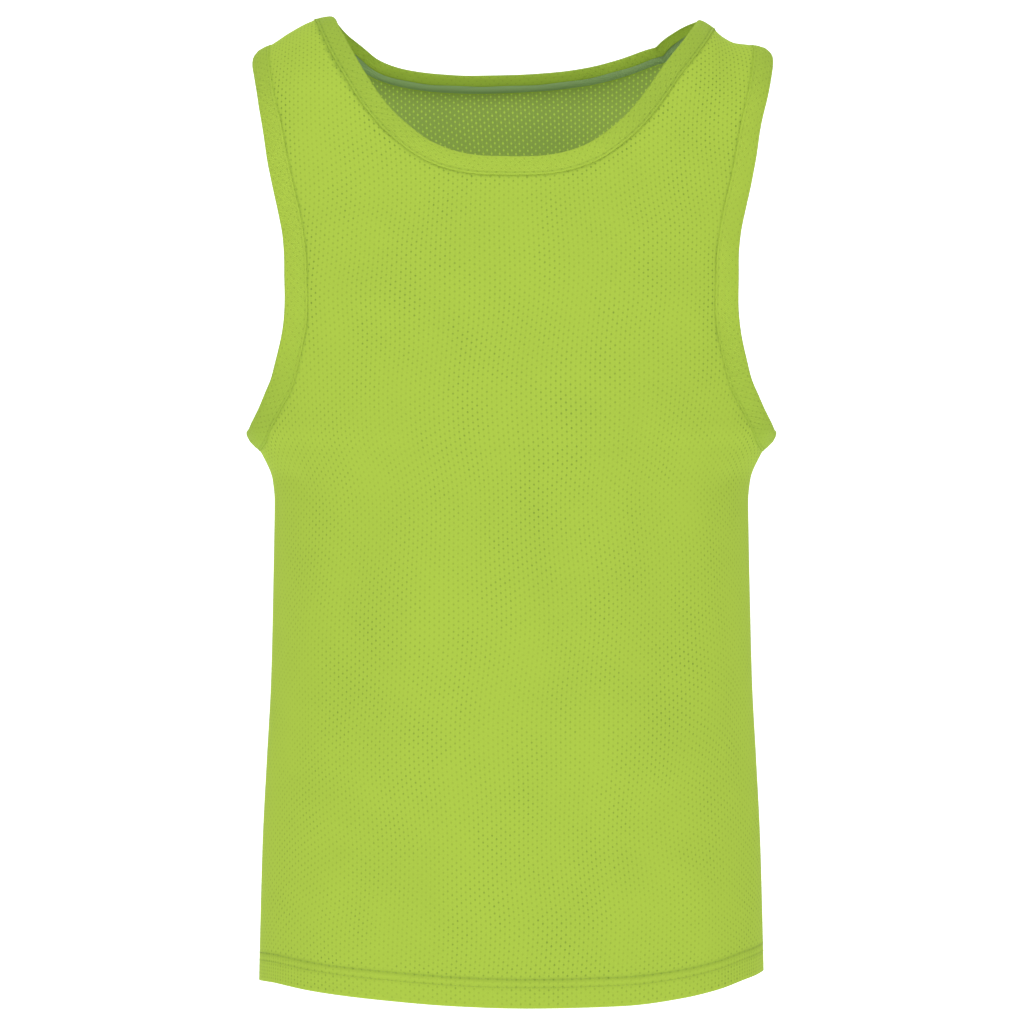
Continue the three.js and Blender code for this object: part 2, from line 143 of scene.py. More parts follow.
@dataclass(frozen=True)
class WornForm:
    """The filled-out shape that the cloth lies on, with the lines where it is sewn.

    A place on a panel is given by the angle round the body from the panel's centre line and by the length
    up the cloth, which equals the height until the cloth turns over the shoulder.

    Attributes:
        section_power: roundness of the level sections, 2 for an ellipse and more for a squarer one.
        shoulder_radius: height over which the cloth turns to the ridge of the shoulder.
        shoulder_level: height at which the shoulder's width and depth are read.
        shoulder_tip_angle: angle of the shoulder's outer end.
        underarm_z: height of the armhole's foot.
        back_neck_tilt: slope of the back neck's foot, up towards the left.
        back_neck_tilt_fade: how sharply that slope ends at the foot's sides.
        neck_passes: how many rounds settle the neck's foot.
        fold_end: share of a fold's length at each end over which its height stays level.
        shoulder_fade: distance below the ridge over which the folds fade out.
        sections: level sections of the body, with the half width and the depth in front and behind.
        hem_line: height of the hem's edge.
        ridge: height of the shoulder's ridge.
        neck_foot: height of the neck seam near the centre line.
        neck_side_up: length up the cloth at which each side of the neck seam begins.
        neck_side: angle of the neck seam by the way up its side, from 0 to 1.
        underarm_seam: height of the armhole seam under the arm.
        chest_seam: angle of the armhole seam beside the chest.
        folds: the larger folds, each from one end to the other; hand 0 stands for both halves.
        creases: the small creases, in the same columns.
    """

    section_power: float = 2.1
    shoulder_radius: float = 60.0
    shoulder_level: float = -20.0
    shoulder_tip_angle: float = 50.4
    underarm_z: float = -311.0
    back_neck_tilt: float = 0.04
    back_neck_tilt_fade: float = 20.0
    neck_passes: int = 12
    fold_end: float = 0.04
    shoulder_fade: float = 30.0
    sections: Table = Table(
        ("z", "half", "front", "back"),
        (
            (-712, 189.2, 118, 106), (-664, 188.1, 120, 105), (-604, 186.4, 123, 103),
            (-544, 183.4, 126, 101), (-484, 180.2, 128, 100), (-424, 178.6, 129, 100),
            (-379, 177.7, 130, 101), (-349, 177.3, 131, 103), (-334, 179.0, 131, 104),
            (-319, 184.6, 131, 105), (-310, 189.5, 130, 106), (-298, 198.4, 130, 107),
            (-285, 203.0, 129, 108), (-260, 210.0, 128, 110), (-200, 217.0, 121, 112),
            (-120, 223.0, 103, 104), (-60, 229.0, 90, 88), (-20, 232.0, 86, 78),
        ),
    )
    hem_line: dict[Side, Table] = field(default_factory=lambda: {
        Side.FRONT: Table(
            ("angle", "z"),
            (
                (-90, -708), (-80, -705.4), (-66, -703.4), (-48, -705.4), (-28, -708.2), (-12, -710.8),
                (4, -712.2), (24, -711.8), (40, -708.5), (52, -704.8), (66, -700.2), (80, -699),
                (90, -700.5),
            ),
        ),
        Side.BACK: Table(
            ("angle", "z"),
            ((-90, -708), (-60, -706.5), (-30, -709), (0, -710.3), (30, -709.4), (60, -704.4), (90, -700.5)),
        ),
    })
    ridge: Table = Table(
        ("x", "z"),
        (
            (-205, -19), (-194, -14), (-181, -8.6), (-166, 0.9), (-151, 8.8), (-136, 13.4), (-100, 16),
            (0, 16), (100, 16), (134, 11.6), (149, 5.4), (157, -1.6), (167, -6.6), (180, -8.2), (194, -14),
            (205, -19),
        ),
    )
    neck_foot: dict[Side, Table] = field(default_factory=lambda: {
        Side.FRONT: Table(
            ("x", "z"),
            ((0, -114), (23, -113.6), (37, -111.5), (51, -107.5), (65, -101), (79, -91), (93, -78.5)),
        ),
        Side.BACK: Table(
            ("x", "z"), ((0, -31.8), (30, -31.3), (60, -29), (85, -24.8), (105, -18.6), (120, -12))
        ),
    })
    neck_side_up: dict[Side, float] = field(default_factory=lambda: {Side.FRONT: -78.5, Side.BACK: -7.5})
    neck_side: dict[Side, Table] = field(default_factory=lambda: {
        Side.FRONT: Table(
            ("way", "right", "left"),
            (
                (0, 23.04, 23.04), (0.1, 25.9, 25.7), (0.24, 29.1, 28.9), (0.39, 31.9, 32.1),
                (0.51, 33.9, 34.8), (0.67, 36, 37.6), (0.86, 37.5, 39.2), (1, 38.3, 39.8),
            ),
        ),
        Side.BACK: Table(
            ("way", "right", "left"),
            ((0, 30, 30), (0.2, 33.2, 31), (0.42, 35.6, 33.8), (0.7, 37.2, 37), (1, 38.3, 39.8)),
        ),
    })
    underarm_seam: dict[Side, Table] = field(default_factory=lambda: {
        Side.FRONT: Table(
            ("angle", "z"),
            ((54, -280.5), (59.2, -292), (66.5, -303), (74, -308.2), (82, -310.7), (90, -311)),
        ),
        Side.BACK: Table(
            ("angle", "z"), ((54, -272), (61, -291), (69, -302.5), (76, -307.5), (83, -310.2), (90, -311))
        ),
    })
    chest_seam: dict[Side, Table] = field(default_factory=lambda: {
        Side.FRONT: Table(
            ("up", "angle"),
            (
                (-280.5, 54), (-268, 49.2), (-248, 45.8), (-221, 43), (-203, 42.2), (-172, 42.2),
                (-153, 42.7), (-117, 45.1), (-94, 46.3), (-71, 47.4), (-50, 48.9), (-10, 50.4),
            ),
        ),
        Side.BACK: Table(
            ("up", "angle"),
            ((-272, 54), (-240, 48), (-200, 45.6), (-150, 45.8), (-100, 47.6), (-55, 49.4), (-10, 50.4)),
        ),
    })
    folds: dict[Side, Table] = field(default_factory=lambda: {
        Side.FRONT: Table(
            FOLD_COLUMNS,
            (
                (0, 0, -150, 0, -400, 0, 15, 1.6), (0, 31, -120, 29, -215, 0, 13, 1.8),
                (0, 14, -190, 32, -440, -3, 14, -2.2), (0, 148, -126, 50, -165, -16, 15, -2.2),
                (0, 145, -176, 44, -222, -20, 16, -2.6), (0, 140, -228, 36, -280, -20, 17, -2.6),
                (0, 148, -150, 60, -185, -16, 13, 1.4), (0, 143, -200, 58, -245, -18, 14, 1.4),
                (0, 108, -330, 110, -520, 4, 20, -2.4), (0, 74, -340, 70, -540, -4, 18, 2.0),
                (0, 140, -350, 142, -560, 3, 18, 2.2), (0, 150, -545, 62, -690, -34, 16, -2.8),
                (0, 112, -600, 118, -690, 22, 16, 2.2), (1, 166, -20, 122, -96, 6, 26, -3.5),
            ),
        ),
        Side.BACK: Table(
            FOLD_COLUMNS,
            (
                (0, 0, -60, 0, -330, 0, 26, -3.0), (0, 146, -120, 60, -190, -18, 17, -2.6),
                (0, 144, -190, 50, -262, -20, 18, -2.8), (0, 60, -300, 56, -620, 8, 22, 3.0),
                (0, 100, -290, 106, -600, -6, 20, -2.8), (0, 140, -340, 138, -640, 4, 20, 2.4),
                (1, 26, -420, 30, -690, -4, 18, -2.2),
            ),
        ),
    })
    creases: dict[Side, Table] = field(default_factory=lambda: {
        Side.FRONT: Table(
            FOLD_COLUMNS,
            (
                (-1, 152, -96, 92, -128, -7, 7, -0.6), (1, 156, -88, 86, -120, -6, 8, -0.7),
                (-1, 40, -240, 96, -262, 9, 7, -0.5), (1, 44, -300, 120, -318, 10, 8, -0.6),
                (0, 176, -330, 128, -372, -10, 8, -1.0), (0, 178, -322, 150, -344, -4, 6, -0.8),
                (-1, 58, -420, 52, -600, 5, 9, -0.6), (1, 60, -440, 66, -640, -5, 9, -0.7),
                (-1, 170, -420, 168, -640, 2, 8, -0.7), (1, 168, -460, 172, -660, -2, 8, -0.6),
                (-1, 20, -596, 150, -604, 4, 9, -0.5), (1, 24, -598, 140, -592, -4, 9, -0.5),
                (-1, 128, -590, 84, -668, -18, 8, -0.8), (1, 132, -586, 88, -672, -18, 8, -0.7),
                (-1, 8, -470, 14, -640, 4, 10, 0.6), (1, 12, -500, 6, -676, -3, 10, 0.5),
            ),
        ),
        Side.BACK: Table(
            FOLD_COLUMNS,
            (
                (-1, 150, -90, 84, -116, -7, 8, -0.7), (1, 152, -96, 90, -130, -6, 8, -0.6),
                (-1, 32, -220, 104, -250, 10, 8, -0.6), (1, 30, -290, 112, -312, 9, 8, -0.6),
                (0, 176, -330, 126, -376, -10, 8, -1.0), (0, 178, -322, 150, -346, -4, 6, -0.8),
                (-1, 24, -380, 18, -620, 5, 10, -0.8), (1, 80, -420, 84, -660, -5, 9, -0.6),
                (-1, 168, -440, 170, -650, 2, 8, -0.7), (1, 170, -430, 166, -640, -2, 8, -0.6),
                (-1, 120, -600, 66, -680, -16, 9, -0.7), (1, 126, -590, 74, -676, -18, 9, -0.8),
            ),
        ),
    })

    def half(self, up: Array) -> Array:
        """Half width of the level section."""
        return self.sections.read("z", "half", up)

    def depth(self, side: Side, up: Array) -> Array:
        """Depth of the level section in front or behind."""
        return self.sections.read("z", side.label, up)

    def shape(self, angle: Array) -> tuple[Array, Array]:
        """Half width and depth at an angle, as shares of the section's largest.

        Args:
            angle: angles round the body.

        Returns:
            The share across, with its sign, and the share of the depth.
        """
        turn = np.radians(np.abs(angle))
        across = np.sign(angle) * np.sin(turn) ** (2 / self.section_power)
        return across, np.maximum(np.cos(turn), 0.0) ** (2 / self.section_power)

    def shoulder_length(self, side: Side, deep: Array) -> Array:
        """Cloth length of the quarter turn over the shoulder, for a share of the depth."""
        depth = self.depth(side, self.shoulder_level) * deep
        return (math.pi / 2) * np.sqrt((self.shoulder_radius**2 + depth**2) / 2)

    def point(self, side: Side, angle: Array, up: Array) -> Array:
        """Places on the smooth form.

        Args:
            side: the panel.
            angle: angles round the body.
            up: lengths up the cloth.

        Returns:
            The places, with x, y and z in the last axis.
        """
        across, deep = self.shape(angle)
        x = self.half(up) * across
        start = self.ridge.read("x", "z", x) - self.shoulder_radius
        turn = np.maximum(0.0, (up - start) / self.shoulder_length(side, deep)) * (math.pi / 2)
        z = np.minimum(up, start) + self.shoulder_radius * np.sin(turn)
        y = side.value * self.depth(side, up) * deep * np.cos(turn)
        return np.stack(np.broadcast_arrays(x, y, z), axis=-1)

    def cloth_length(self, side: Side, x: Array, angle: Array, z: Array) -> Array:
        """Turn heights into lengths up the cloth.

        Args:
            side: the panel.
            x: places across the body.
            angle: their angles.
            z: their heights.

        Returns:
            The lengths up the cloth.
        """
        start = self.ridge.read("x", "z", x) - self.shoulder_radius
        turn = np.arcsin(np.clip((z - start) / self.shoulder_radius, 0.0, 1.0))
        over = self.shoulder_length(side, self.shape(angle)[1]) * turn / (math.pi / 2)
        return np.where(z <= start, z, start + over)

    def fold_height(self, side: Side, x: Array, z: Array) -> Array:
        """Height of all folds and creases over the smooth form.

        Args:
            side: the panel.
            x: places across the body.
            z: heights.

        Returns:
            The heights, below zero in a trough.
        """
        total = np.zeros(np.broadcast(x, z).shape)
        rows = self.folds[side].rows + self.creases[side].rows
        for hand, from_x, from_z, to_x, to_z, bow, width, height in rows:
            length = math.hypot(to_x - from_x, to_z - from_z)
            along = ((to_x - from_x) / length, (to_z - from_z) / length)
            over, above = np.abs(x) - from_x, z - from_z
            reach = over * along[0] + above * along[1]
            t = np.clip(reach / length, 0.0, 1.0)
            aside = -over * along[1] + above * along[0] - bow * 4 * t * (1 - t)
            distance = np.hypot(aside, reach - t * length) / width
            fade = np.sqrt(np.sin(math.pi * np.clip(t, self.fold_end, 1 - self.fold_end)))
            total += np.where(hand * x < 0, 0.0, height * fade * np.exp(-distance * distance))
        near = np.clip((self.ridge.read("x", "z", x) - z) / self.shoulder_fade, 0.0, 1.0)
        return total * near * near * (3 - 2 * near)

    def hem_level(self, side: Side, angle: Array) -> Array:
        """Height of the hem's edge."""
        return self.hem_line[side].read("angle", "z", angle)

    def neck_top(self, side: Side, angle: Array) -> Array:
        """Follow the neck seam's foot.

        Args:
            side: the panel.
            angle: angles near the centre line.

        Returns:
            The seam's lengths up the cloth.
        """
        across = self.shape(angle)[0]
        foot = self.neck_foot[side]
        z = np.full(np.shape(angle), self.shoulder_level)
        x = z
        for _ in range(self.neck_passes):
            x = self.half(z) * across
            fade = 1 - np.minimum(1.0, np.abs(x / foot.rows[-1][0])) ** self.back_neck_tilt_fade
            tilt = self.back_neck_tilt * x * fade
            z = foot.read("x", "z", np.abs(x)) + (tilt if side is Side.BACK else 0.0)
        return self.cloth_length(side, x, angle, z)

    def shoulder_top(self, side: Side, angle: Array) -> Array:
        """Follow the shoulder seam.

        Args:
            side: the panel.
            angle: angles round the body.

        Returns:
            The seam's lengths up the cloth.
        """
        across, deep = self.shape(angle)
        x = self.half(self.shoulder_level) * across
        return self.ridge.read("x", "z", x) - self.shoulder_radius + self.shoulder_length(side, deep)

    def neck_line(self, side: Side) -> Array:
        """The neck seam of a panel.

        Args:
            side: the panel.

        Returns:
            Rows of angle and length up the cloth, from the shoulder on -X to the one on +X.
        """
        table = self.neck_side[side]
        foot_up = self.neck_side_up[side]
        way = np.linspace(0.0, 1.0, 48)[1:]
        sides = {}
        for hand in Hand:
            angle = table.read("way", hand.label, way) * hand.value
            tip = table.column(hand.label)[-1:] * hand.value
            top = self.shoulder_top(side, tip)
            sides[hand] = np.stack([angle, foot_up + (top - foot_up) * way], axis=1)
        edge = table.rows[0][1]
        angle = np.linspace(-edge, edge, 81)
        foot = np.stack([angle, self.neck_top(side, angle)], axis=1)
        return np.concatenate([sides[Hand.RIGHT][::-1], foot, sides[Hand.LEFT]])

    def armhole_line(self, side: Side, hand: Hand) -> Array:
        """The armhole seam of one half of a panel.

        Args:
            side: the panel.
            hand: the half.

        Returns:
            Rows of angle and length up the cloth, from the underarm to the tip of the shoulder.
        """
        under = np.linspace(90.0, self.underarm_seam[side].rows[0][0], 46)
        foot = np.stack([under, self.underarm_seam[side].read("angle", "z", under)], axis=1)
        top = self.shoulder_top(side, np.array([self.shoulder_tip_angle * hand.value]))[0]
        up = np.linspace(self.chest_seam[side].rows[0][0], top, 120)[1:]
        beside = np.stack([self.chest_seam[side].read("up", "angle", up), up], axis=1)
        return np.concatenate([foot, beside]) * np.array([hand.value, 1.0])


@dataclass
class FlatCloth:
    """A panel's cloth laid flat: s runs across it from its centre line and t up from its hem's edge.

    Attributes:
        form: the worn shape.
        side: the panel.
        half_width: s at the side seam.
        top: the largest t.
        step: spacing of the places that are worked out, with straight lines between them.
        angle_step: spacing of the angles that they are worked out from.
    """

    form: WornForm
    side: Side
    half_width: float = 250.0
    top: float = 792.0
    step: float = 3.0
    angle_step: float = 0.25

    def __post_init__(self) -> None:
        """Work out the places and outward normals of the cloth on a grid of s and t."""
        form, side = self.form, self.side
        self.rows = np.arange(0.0, self.top + self.step, self.step)
        count = 2 * round(self.half_width / self.step) + 1
        self.columns = np.linspace(-self.half_width, self.half_width, count)
        self.angles = np.arange(-90.0, 90.0 + self.angle_step, self.angle_step)
        middle = len(self.angles) // 2
        level = form.hem_level(side, self.angles)
        smooth = form.point(side, self.angles[None, :], level[None, :] + self.rows[:, None])
        steps = np.linalg.norm(np.diff(smooth, axis=1), axis=2)
        across = np.concatenate([np.zeros((len(self.rows), 1)), np.cumsum(steps, axis=1)], axis=1)
        across -= across[:, middle:middle + 1]
        for end, half in ((0, slice(0, middle)), (-1, slice(middle + 1, None))):
            scale = self.half_width / np.abs(across[:, end])
            underarm = form.underarm_z - level[end]
            scale[self.rows > underarm] = scale[int(underarm // self.step)]
            across[:, half] *= scale[:, None]
        self.across = across
        self.angle = np.stack([np.interp(self.columns, row, self.angles) for row in across])
        up = form.hem_level(side, self.angle) + self.rows[:, None]
        places = form.point(side, self.angle, up)
        fold = form.fold_height(side, places[..., 0], places[..., 2])
        self.places = places + fold[..., None] * self.normals_of(places)
        self.normals = self.normals_of(self.places)

    def normals_of(self, places: Array) -> Array:
        """Outward normals of a grid of places, by its slopes along s and t."""
        normal = np.cross(np.gradient(places, axis=1), np.gradient(places, axis=0)) * -self.side.value
        return normal / np.maximum(np.linalg.norm(normal, axis=2, keepdims=True), 1e-9)

    def read(self, grid: Array, s: Array, t: Array) -> Array:
        """Read a grid between its points.

        Args:
            grid: values on the rows and columns.
            s: places across.
            t: places up.

        Returns:
            The values there.
        """
        spacing = self.columns[1] - self.columns[0]
        column = np.clip((s - self.columns[0]) / spacing, 0, len(self.columns) - 1.001)
        row = np.clip(t / self.step, 0, len(self.rows) - 1.001)
        c, r = column.astype(int), row.astype(int)
        a, b = (column - c)[..., None], (row - r)[..., None]
        low = grid[r, c] * (1 - a) + grid[r, c + 1] * a
        return low * (1 - b) + (grid[r + 1, c] * (1 - a) + grid[r + 1, c + 1] * a) * b

    def lay(self, s: Array, t: Array, lift: Array | float = 0.0) -> Array:
        """Lay flat places on the worn shape.

        Args:
            s: places across.
            t: places up.
            lift: how far out from the cloth's face.

        Returns:
            The places in space.
        """
        normal = self.read(self.normals, s, t)
        return self.read(self.places, s, t) + normal * np.asarray(lift, dtype=float)[..., None]

    def flatten(self, line: Array) -> Array:
        """Lay a line of the worn form flat.

        Args:
            line: rows of angle and length up the cloth.

        Returns:
            Rows of s and t.
        """
        t = line[:, 1] - self.form.hem_level(self.side, line[:, 0])
        row = np.clip(t / self.step, 0, len(self.rows) - 1.001)
        column = np.clip((line[:, 0] + 90.0) / self.angle_step, 0, len(self.angles) - 1.001)
        r, c = row.astype(int), column.astype(int)
        a, b = column - c, row - r
        low = self.across[r, c] * (1 - a) + self.across[r, c + 1] * a
        high = self.across[r + 1, c] * (1 - a) + self.across[r + 1, c + 1] * a
        return np.stack([low * (1 - b) + high * b, t], axis=1)


def bell(distance: Array, width: float) -> Array:
    """A smooth bump, 1 at no distance and nearly 0 at twice its width."""
    return np.exp(-((distance / width) ** 2))


def signed_distance(s: Array, t: Array, line: Array, closing: Array) -> Array:
    """Distance from a cut line, above zero on the cloth's side of it.

    Args:
        s: places across.
        t: places up.
        line: the cut, as rows of s and t.
        closing: more corners that close the cut-away area beyond the line.

    Returns:
        The distances.
    """
    nearest = np.full(s.shape, 1e9)
    for start, end in zip(line[:-1], line[1:]):
        run = end - start
        share = np.clip(((s - start[0]) * run[0] + (t - start[1]) * run[1]) / max(run @ run, 1e-9), 0.0, 1.0)
        nearest = np.minimum(nearest, np.hypot(s - start[0] - share * run[0], t - start[1] - share * run[1]))
    corners = np.concatenate([line, closing])
    inside = np.zeros(s.shape, dtype=bool)
    for start, end in zip(corners, np.roll(corners, -1, axis=0)):
        crosses = (start[1] > t) != (end[1] > t)
        rise = end[1] - start[1]
        at = start[0] + (t - start[1]) * (end[0] - start[0]) / (rise if abs(rise) > 1e-9 else 1e-9)
        inside ^= crosses & (s < at)
    return np.where(inside, -nearest, nearest)


def linear(code: str) -> tuple[float, float, float, float]:
    """Turn an sRGB colour into the linear values that a shader takes.

    Args:
        code: the colour in hex, with its leading mark.

    Returns:
        Red, green and blue from 0 to 1, and a full alpha.
    """
    parts = [int(code[i:i + 2], 16) / 255 for i in (1, 3, 5)]
    red, green, blue = (c / 12.92 if c <= 0.04045 else ((c + 0.055) / 1.055) ** 2.4 for c in parts)
    return (red, green, blue, 1.0)


def add_node(
    tree: Tree, kind: str, settings: dict | None = None, links: dict | None = None
) -> Node:
    """Add a node with its settings and links.

    Args:
        tree: the material's node tree.
        kind: the node's type, without the words ShaderNode.
        settings: values by the name of a property, or by the number or name of an input.
        links: the output that feeds each input, by the input's number or name.

    Returns:
        The new node.
    """
    node = tree.nodes.new("ShaderNode" + kind)
    for name, value in (settings or {}).items():
        if isinstance(name, str) and hasattr(node, name):
            setattr(node, name, value)
        else:
            node.inputs[name].default_value = value
    for name, output in (links or {}).items():
        tree.links.new(output, node.inputs[name])
    return node


def start_material(name: str, roughness: float) -> tuple[bpy.types.Material, Node]:
    """Start a material on its main shader.

    Args:
        name: the material's name.
        roughness: the shader's roughness.

    Returns:
        The material and its shader.
    """
    material = bpy.data.materials.new(name)
    material.use_nodes = True
    shader = material.node_tree.nodes["Principled BSDF"]
    shader.inputs["Roughness"].default_value = roughness
    return material, shader


def add_object(name: str, data: bpy.types.ID) -> bpy.types.Object:
    """Add an object to the scene.

    Args:
        name: its name.
        data: its mesh, light or camera.

    Returns:
        The object.
    """
    added = bpy.data.objects.new(name, data)
    bpy.context.scene.collection.objects.link(added)
    return added


@dataclass(frozen=True)
class KnitFinish:
    """Matt knitted polyester in lime green.

    The eye gets a flat bright lime with a dull, slightly fuzzy face, no gloss, and rows of small eyelets
    darkened with painted shade. Inside, the cloth is in painted shade and its eyelets in painted light.

    Attributes:
        name: the material's name.
        colour: the face of the dyed cloth.
        shade: painted shade in the eyelets, grooves and sloping strips, also the dark end of the dye's
            unevenness.
        inside_shade: painted shade of the inside face between the eyelets.
        lit: painted light in the eyelets seen from inside, as if light came through them.
        wale: spacing of the eyelet columns across the cloth.
        course: spacing of the eyelets along a column.
        eyelet: how dark the painted shade in the modelled eyelets is.
        dot: how dark the painted shade in the eyelets is where they are flattened and not modelled.
        fuzz: height of the fuzz.
        rib: height of the slanting ribs of a folded strip.
        rib_pitch: spacing of those ribs along the strip.
        rib_slant: how far they run along it for each millimetre across it.
        roughness: roughness of the dull yarn.
        specular: strength of its faint gloss.
    """

    name: str
    colour: str = "#a9c547"
    shade: str = "#7a9839"
    inside_shade: str = "#8ba75a"
    lit: str = "#c9e45e"
    wale: float = 250 / 74
    course: float = 5.0
    eyelet: float = 0.74
    dot: float = 0.0
    fuzz: float = 0.08
    rib: float = 0.0
    rib_pitch: float = 1.6
    rib_slant: float = 0.75
    roughness: float = 0.88
    specular: float = 0.06

    def build(self) -> bpy.types.Material:
        """Make the material.

        Returns:
            The material, with its pattern in millimetres of the cloth's own flat map.
        """
        material, shader = start_material(self.name, self.roughness)
        shader.inputs["Specular IOR Level"].default_value = self.specular
        tree = material.node_tree
        flat = add_node(tree, "UVMap", {"uv_map": "OFBake"})
        size = add_node(tree, "VectorMath", {"operation": "SCALE", "Scale": FLAT_MAP}, {0: flat.outputs[0]})
        place = add_node(tree, "SeparateXYZ", links={0: size.outputs[0]})
        # Yarn loops are 0.4 mm across, too fine to show, so the fuzz is made 1.3 mm coarse
        fuzz = add_node(
            tree, "TexNoise", {"Scale": 0.75, "Detail": 2.0, "Roughness": 0.6}, {0: size.outputs[0]}
        )
        blotch = add_node(
            tree, "TexNoise", {"Scale": 0.012, "Detail": 3.0, "Roughness": 0.5}, {0: size.outputs[0]}
        )
        groove = add_node(tree, "Attribute", {"attribute_name": "groove"})
        spot, pit = self.add_eyelets(tree, place)
        depth = self.add_depth(tree, place, spot, fuzz, groove)
        colour = self.add_colour(tree, self.add_darkness(tree, spot, pit, groove), fuzz, blotch)
        bump = add_node(tree, "Bump", {"Strength": 1.0, "Distance": MILLIMETRE}, {"Height": depth})
        tree.links.new(colour, shader.inputs["Base Color"])
        tree.links.new(bump.outputs[0], shader.inputs["Normal"])
        return material

    def add_eyelets(self, tree: Tree, place: Node) -> tuple[Socket, Socket]:
        """Add the pattern of the eyelets.

        Args:
            tree: the material's node tree.
            place: the place on the flat map, across and up.

        Returns:
            How much a painted-in eyelet shows, and how much the painted shade of a modelled one does, from 0
            to 1.
        """
        column = add_node(
            tree, "Math", {"operation": "MULTIPLY", 1: math.pi / self.wale}, {0: place.outputs[0]}
        )
        row = add_node(
            tree, "Math", {"operation": "MULTIPLY", 1: 2 * math.pi / self.course}, {0: place.outputs[1]}
        )
        column_wave = add_node(tree, "Math", {"operation": "COSINE"}, {0: column.outputs[0]})
        row_wave = add_node(tree, "Math", {"operation": "COSINE"}, {0: row.outputs[0]})
        lattice = add_node(
            tree, "Math", {"operation": "MULTIPLY"}, {0: column_wave.outputs[0], 1: row_wave.outputs[0]}
        )
        edge = {"interpolation_type": "SMOOTHSTEP", 1: -0.7, 2: -0.96, 4: self.dot}
        spot = add_node(tree, "MapRange", edge, {0: lattice.outputs[0]})
        # The painted shade of each modelled eyelet is an upright oval, 1.4 mm by 1.8 mm, over the middle of
        # its pit
        across = add_node(tree, "Math", {"operation": "ABSOLUTE"}, {0: column_wave.outputs[0]})
        upward = add_node(tree, "Math", {"operation": "ABSOLUTE"}, {0: row_wave.outputs[0]})
        oval = add_node(tree, "Math", {"operation": "MULTIPLY", 1: -4.2}, {0: across.outputs[0]})
        oval = add_node(
            tree, "Math", {"operation": "MULTIPLY_ADD", 1: -1.5}, {0: upward.outputs[0], 2: oval.outputs[0]}
        )
        edge = {"interpolation_type": "SMOOTHSTEP", 1: -4.2, 2: -5.4}
        oval = add_node(tree, "MapRange", edge, {0: oval.outputs[0]})
        modelled = add_node(tree, "Attribute", {"attribute_name": "eyelet"})
        pit = add_node(
            tree, "Math", {"operation": "MULTIPLY"}, {0: oval.outputs[0], 1: modelled.outputs["Fac"]}
        )
        return spot.outputs[0], pit.outputs[0]

    def add_depth(self, tree: Tree, place: Node, spot: Socket, fuzz: Node, groove: Node) -> Socket:
        """Add the height of the face over its mesh, in millimetres.

        Args:
            tree: the material's node tree.
            place: the place on the flat map, across and up.
            spot: how much a painted-in eyelet shows.
            fuzz: the fuzz.
            groove: how far stitches pull the cloth in.

        Returns:
            The height.
        """
        slanted = {"operation": "MULTIPLY_ADD", 1: self.rib_slant}
        rib = add_node(tree, "Math", slanted, {0: place.outputs[1], 2: place.outputs[0]})
        spaced = {"operation": "MULTIPLY", 1: 2 * math.pi / self.rib_pitch}
        rib = add_node(tree, "Math", spaced, {0: rib.outputs[0]})
        rib = add_node(tree, "Math", {"operation": "SINE"}, {0: rib.outputs[0]})
        depth = add_node(tree, "Math", {"operation": "MULTIPLY", 1: -0.8}, {0: spot})
        forms = ((self.fuzz, fuzz.outputs[0]), (self.rib, rib.outputs[0]), (-0.35, groove.outputs["Fac"]))
        for height, form in forms:
            depth = add_node(
                tree, "Math", {"operation": "MULTIPLY_ADD", 1: height}, {0: form, 2: depth.outputs[0]}
            )
        return depth.outputs[0]

    def add_darkness(self, tree: Tree, spot: Socket, pit: Socket, groove: Node) -> Socket:
        """Add the share of painted shade: eyelets, grooves and sloping strips outside, all but the eyelets
        inside.

        Args:
            tree: the material's node tree.
            spot: how much the painted shade of a painted-in eyelet shows.
            pit: how much the painted shade of a modelled eyelet shows.
            groove: how far stitches pull the cloth in, which adds painted shade.

        Returns:
            The share of painted shade.
        """
        slope_shade = add_node(tree, "Attribute", {"attribute_name": "slope_shade"})
        # Outside: painted shade in the modelled eyelets
        outside = add_node(tree, "Math", {"operation": "MULTIPLY", 1: self.eyelet}, {0: pit})
        # Painted shade in the stitch grooves
        outside = add_node(
            tree, "Math", {"operation": "MULTIPLY_ADD", 1: 0.3},
            {0: groove.outputs["Fac"], 2: outside.outputs[0]},
        )
        # Painted shade where a strip slopes from the light, and in the painted-in eyelets
        for more in (slope_shade.outputs["Fac"], spot):
            outside = add_node(tree, "Math", {"operation": "ADD"}, {0: outside.outputs[0], 1: more})
        # Inside: painted shade everywhere but the eyelets, which get painted light as if light came through
        # them
        shine = add_node(tree, "MapRange", {1: 0.05, 2: 0.4}, {0: pit})
        inside = add_node(tree, "MapRange", {3: 0.75, 4: 0.0}, {0: shine.outputs[0]})
        facing = add_node(tree, "NewGeometry")
        sides = {0: facing.outputs["Backfacing"], 2: outside.outputs[0], 3: inside.outputs[0]}
        return add_node(tree, "Mix", {"data_type": "FLOAT"}, sides).outputs[0]

    def add_colour(self, tree: Tree, darkness: Socket, fuzz: Node, blotch: Node) -> Socket:
        """Add the cloth's colour, mixed towards painted shade, with painted light in the eyelets inside.

        Args:
            tree: the material's node tree.
            darkness: the share of painted shade.
            fuzz: the fuzz, which specks the colour.
            blotch: broad unevenness of the dye.

        Returns:
            The colour.
        """
        uneven = add_node(tree, "MapRange", {1: 0.3, 2: 0.7, 3: -0.05, 4: 0.05}, {0: blotch.outputs[0]})
        speck = add_node(tree, "MapRange", {1: 0.3, 2: 0.7, 3: -0.05, 4: 0.07}, {0: fuzz.outputs[0]})
        dark = add_node(tree, "Math", {"operation": "ADD"}, {0: darkness, 1: uneven.outputs[0]})
        dark = add_node(
            tree, "Math", {"operation": "ADD", "use_clamp": True}, {0: dark.outputs[0], 1: speck.outputs[0]}
        )
        facing = add_node(tree, "NewGeometry")
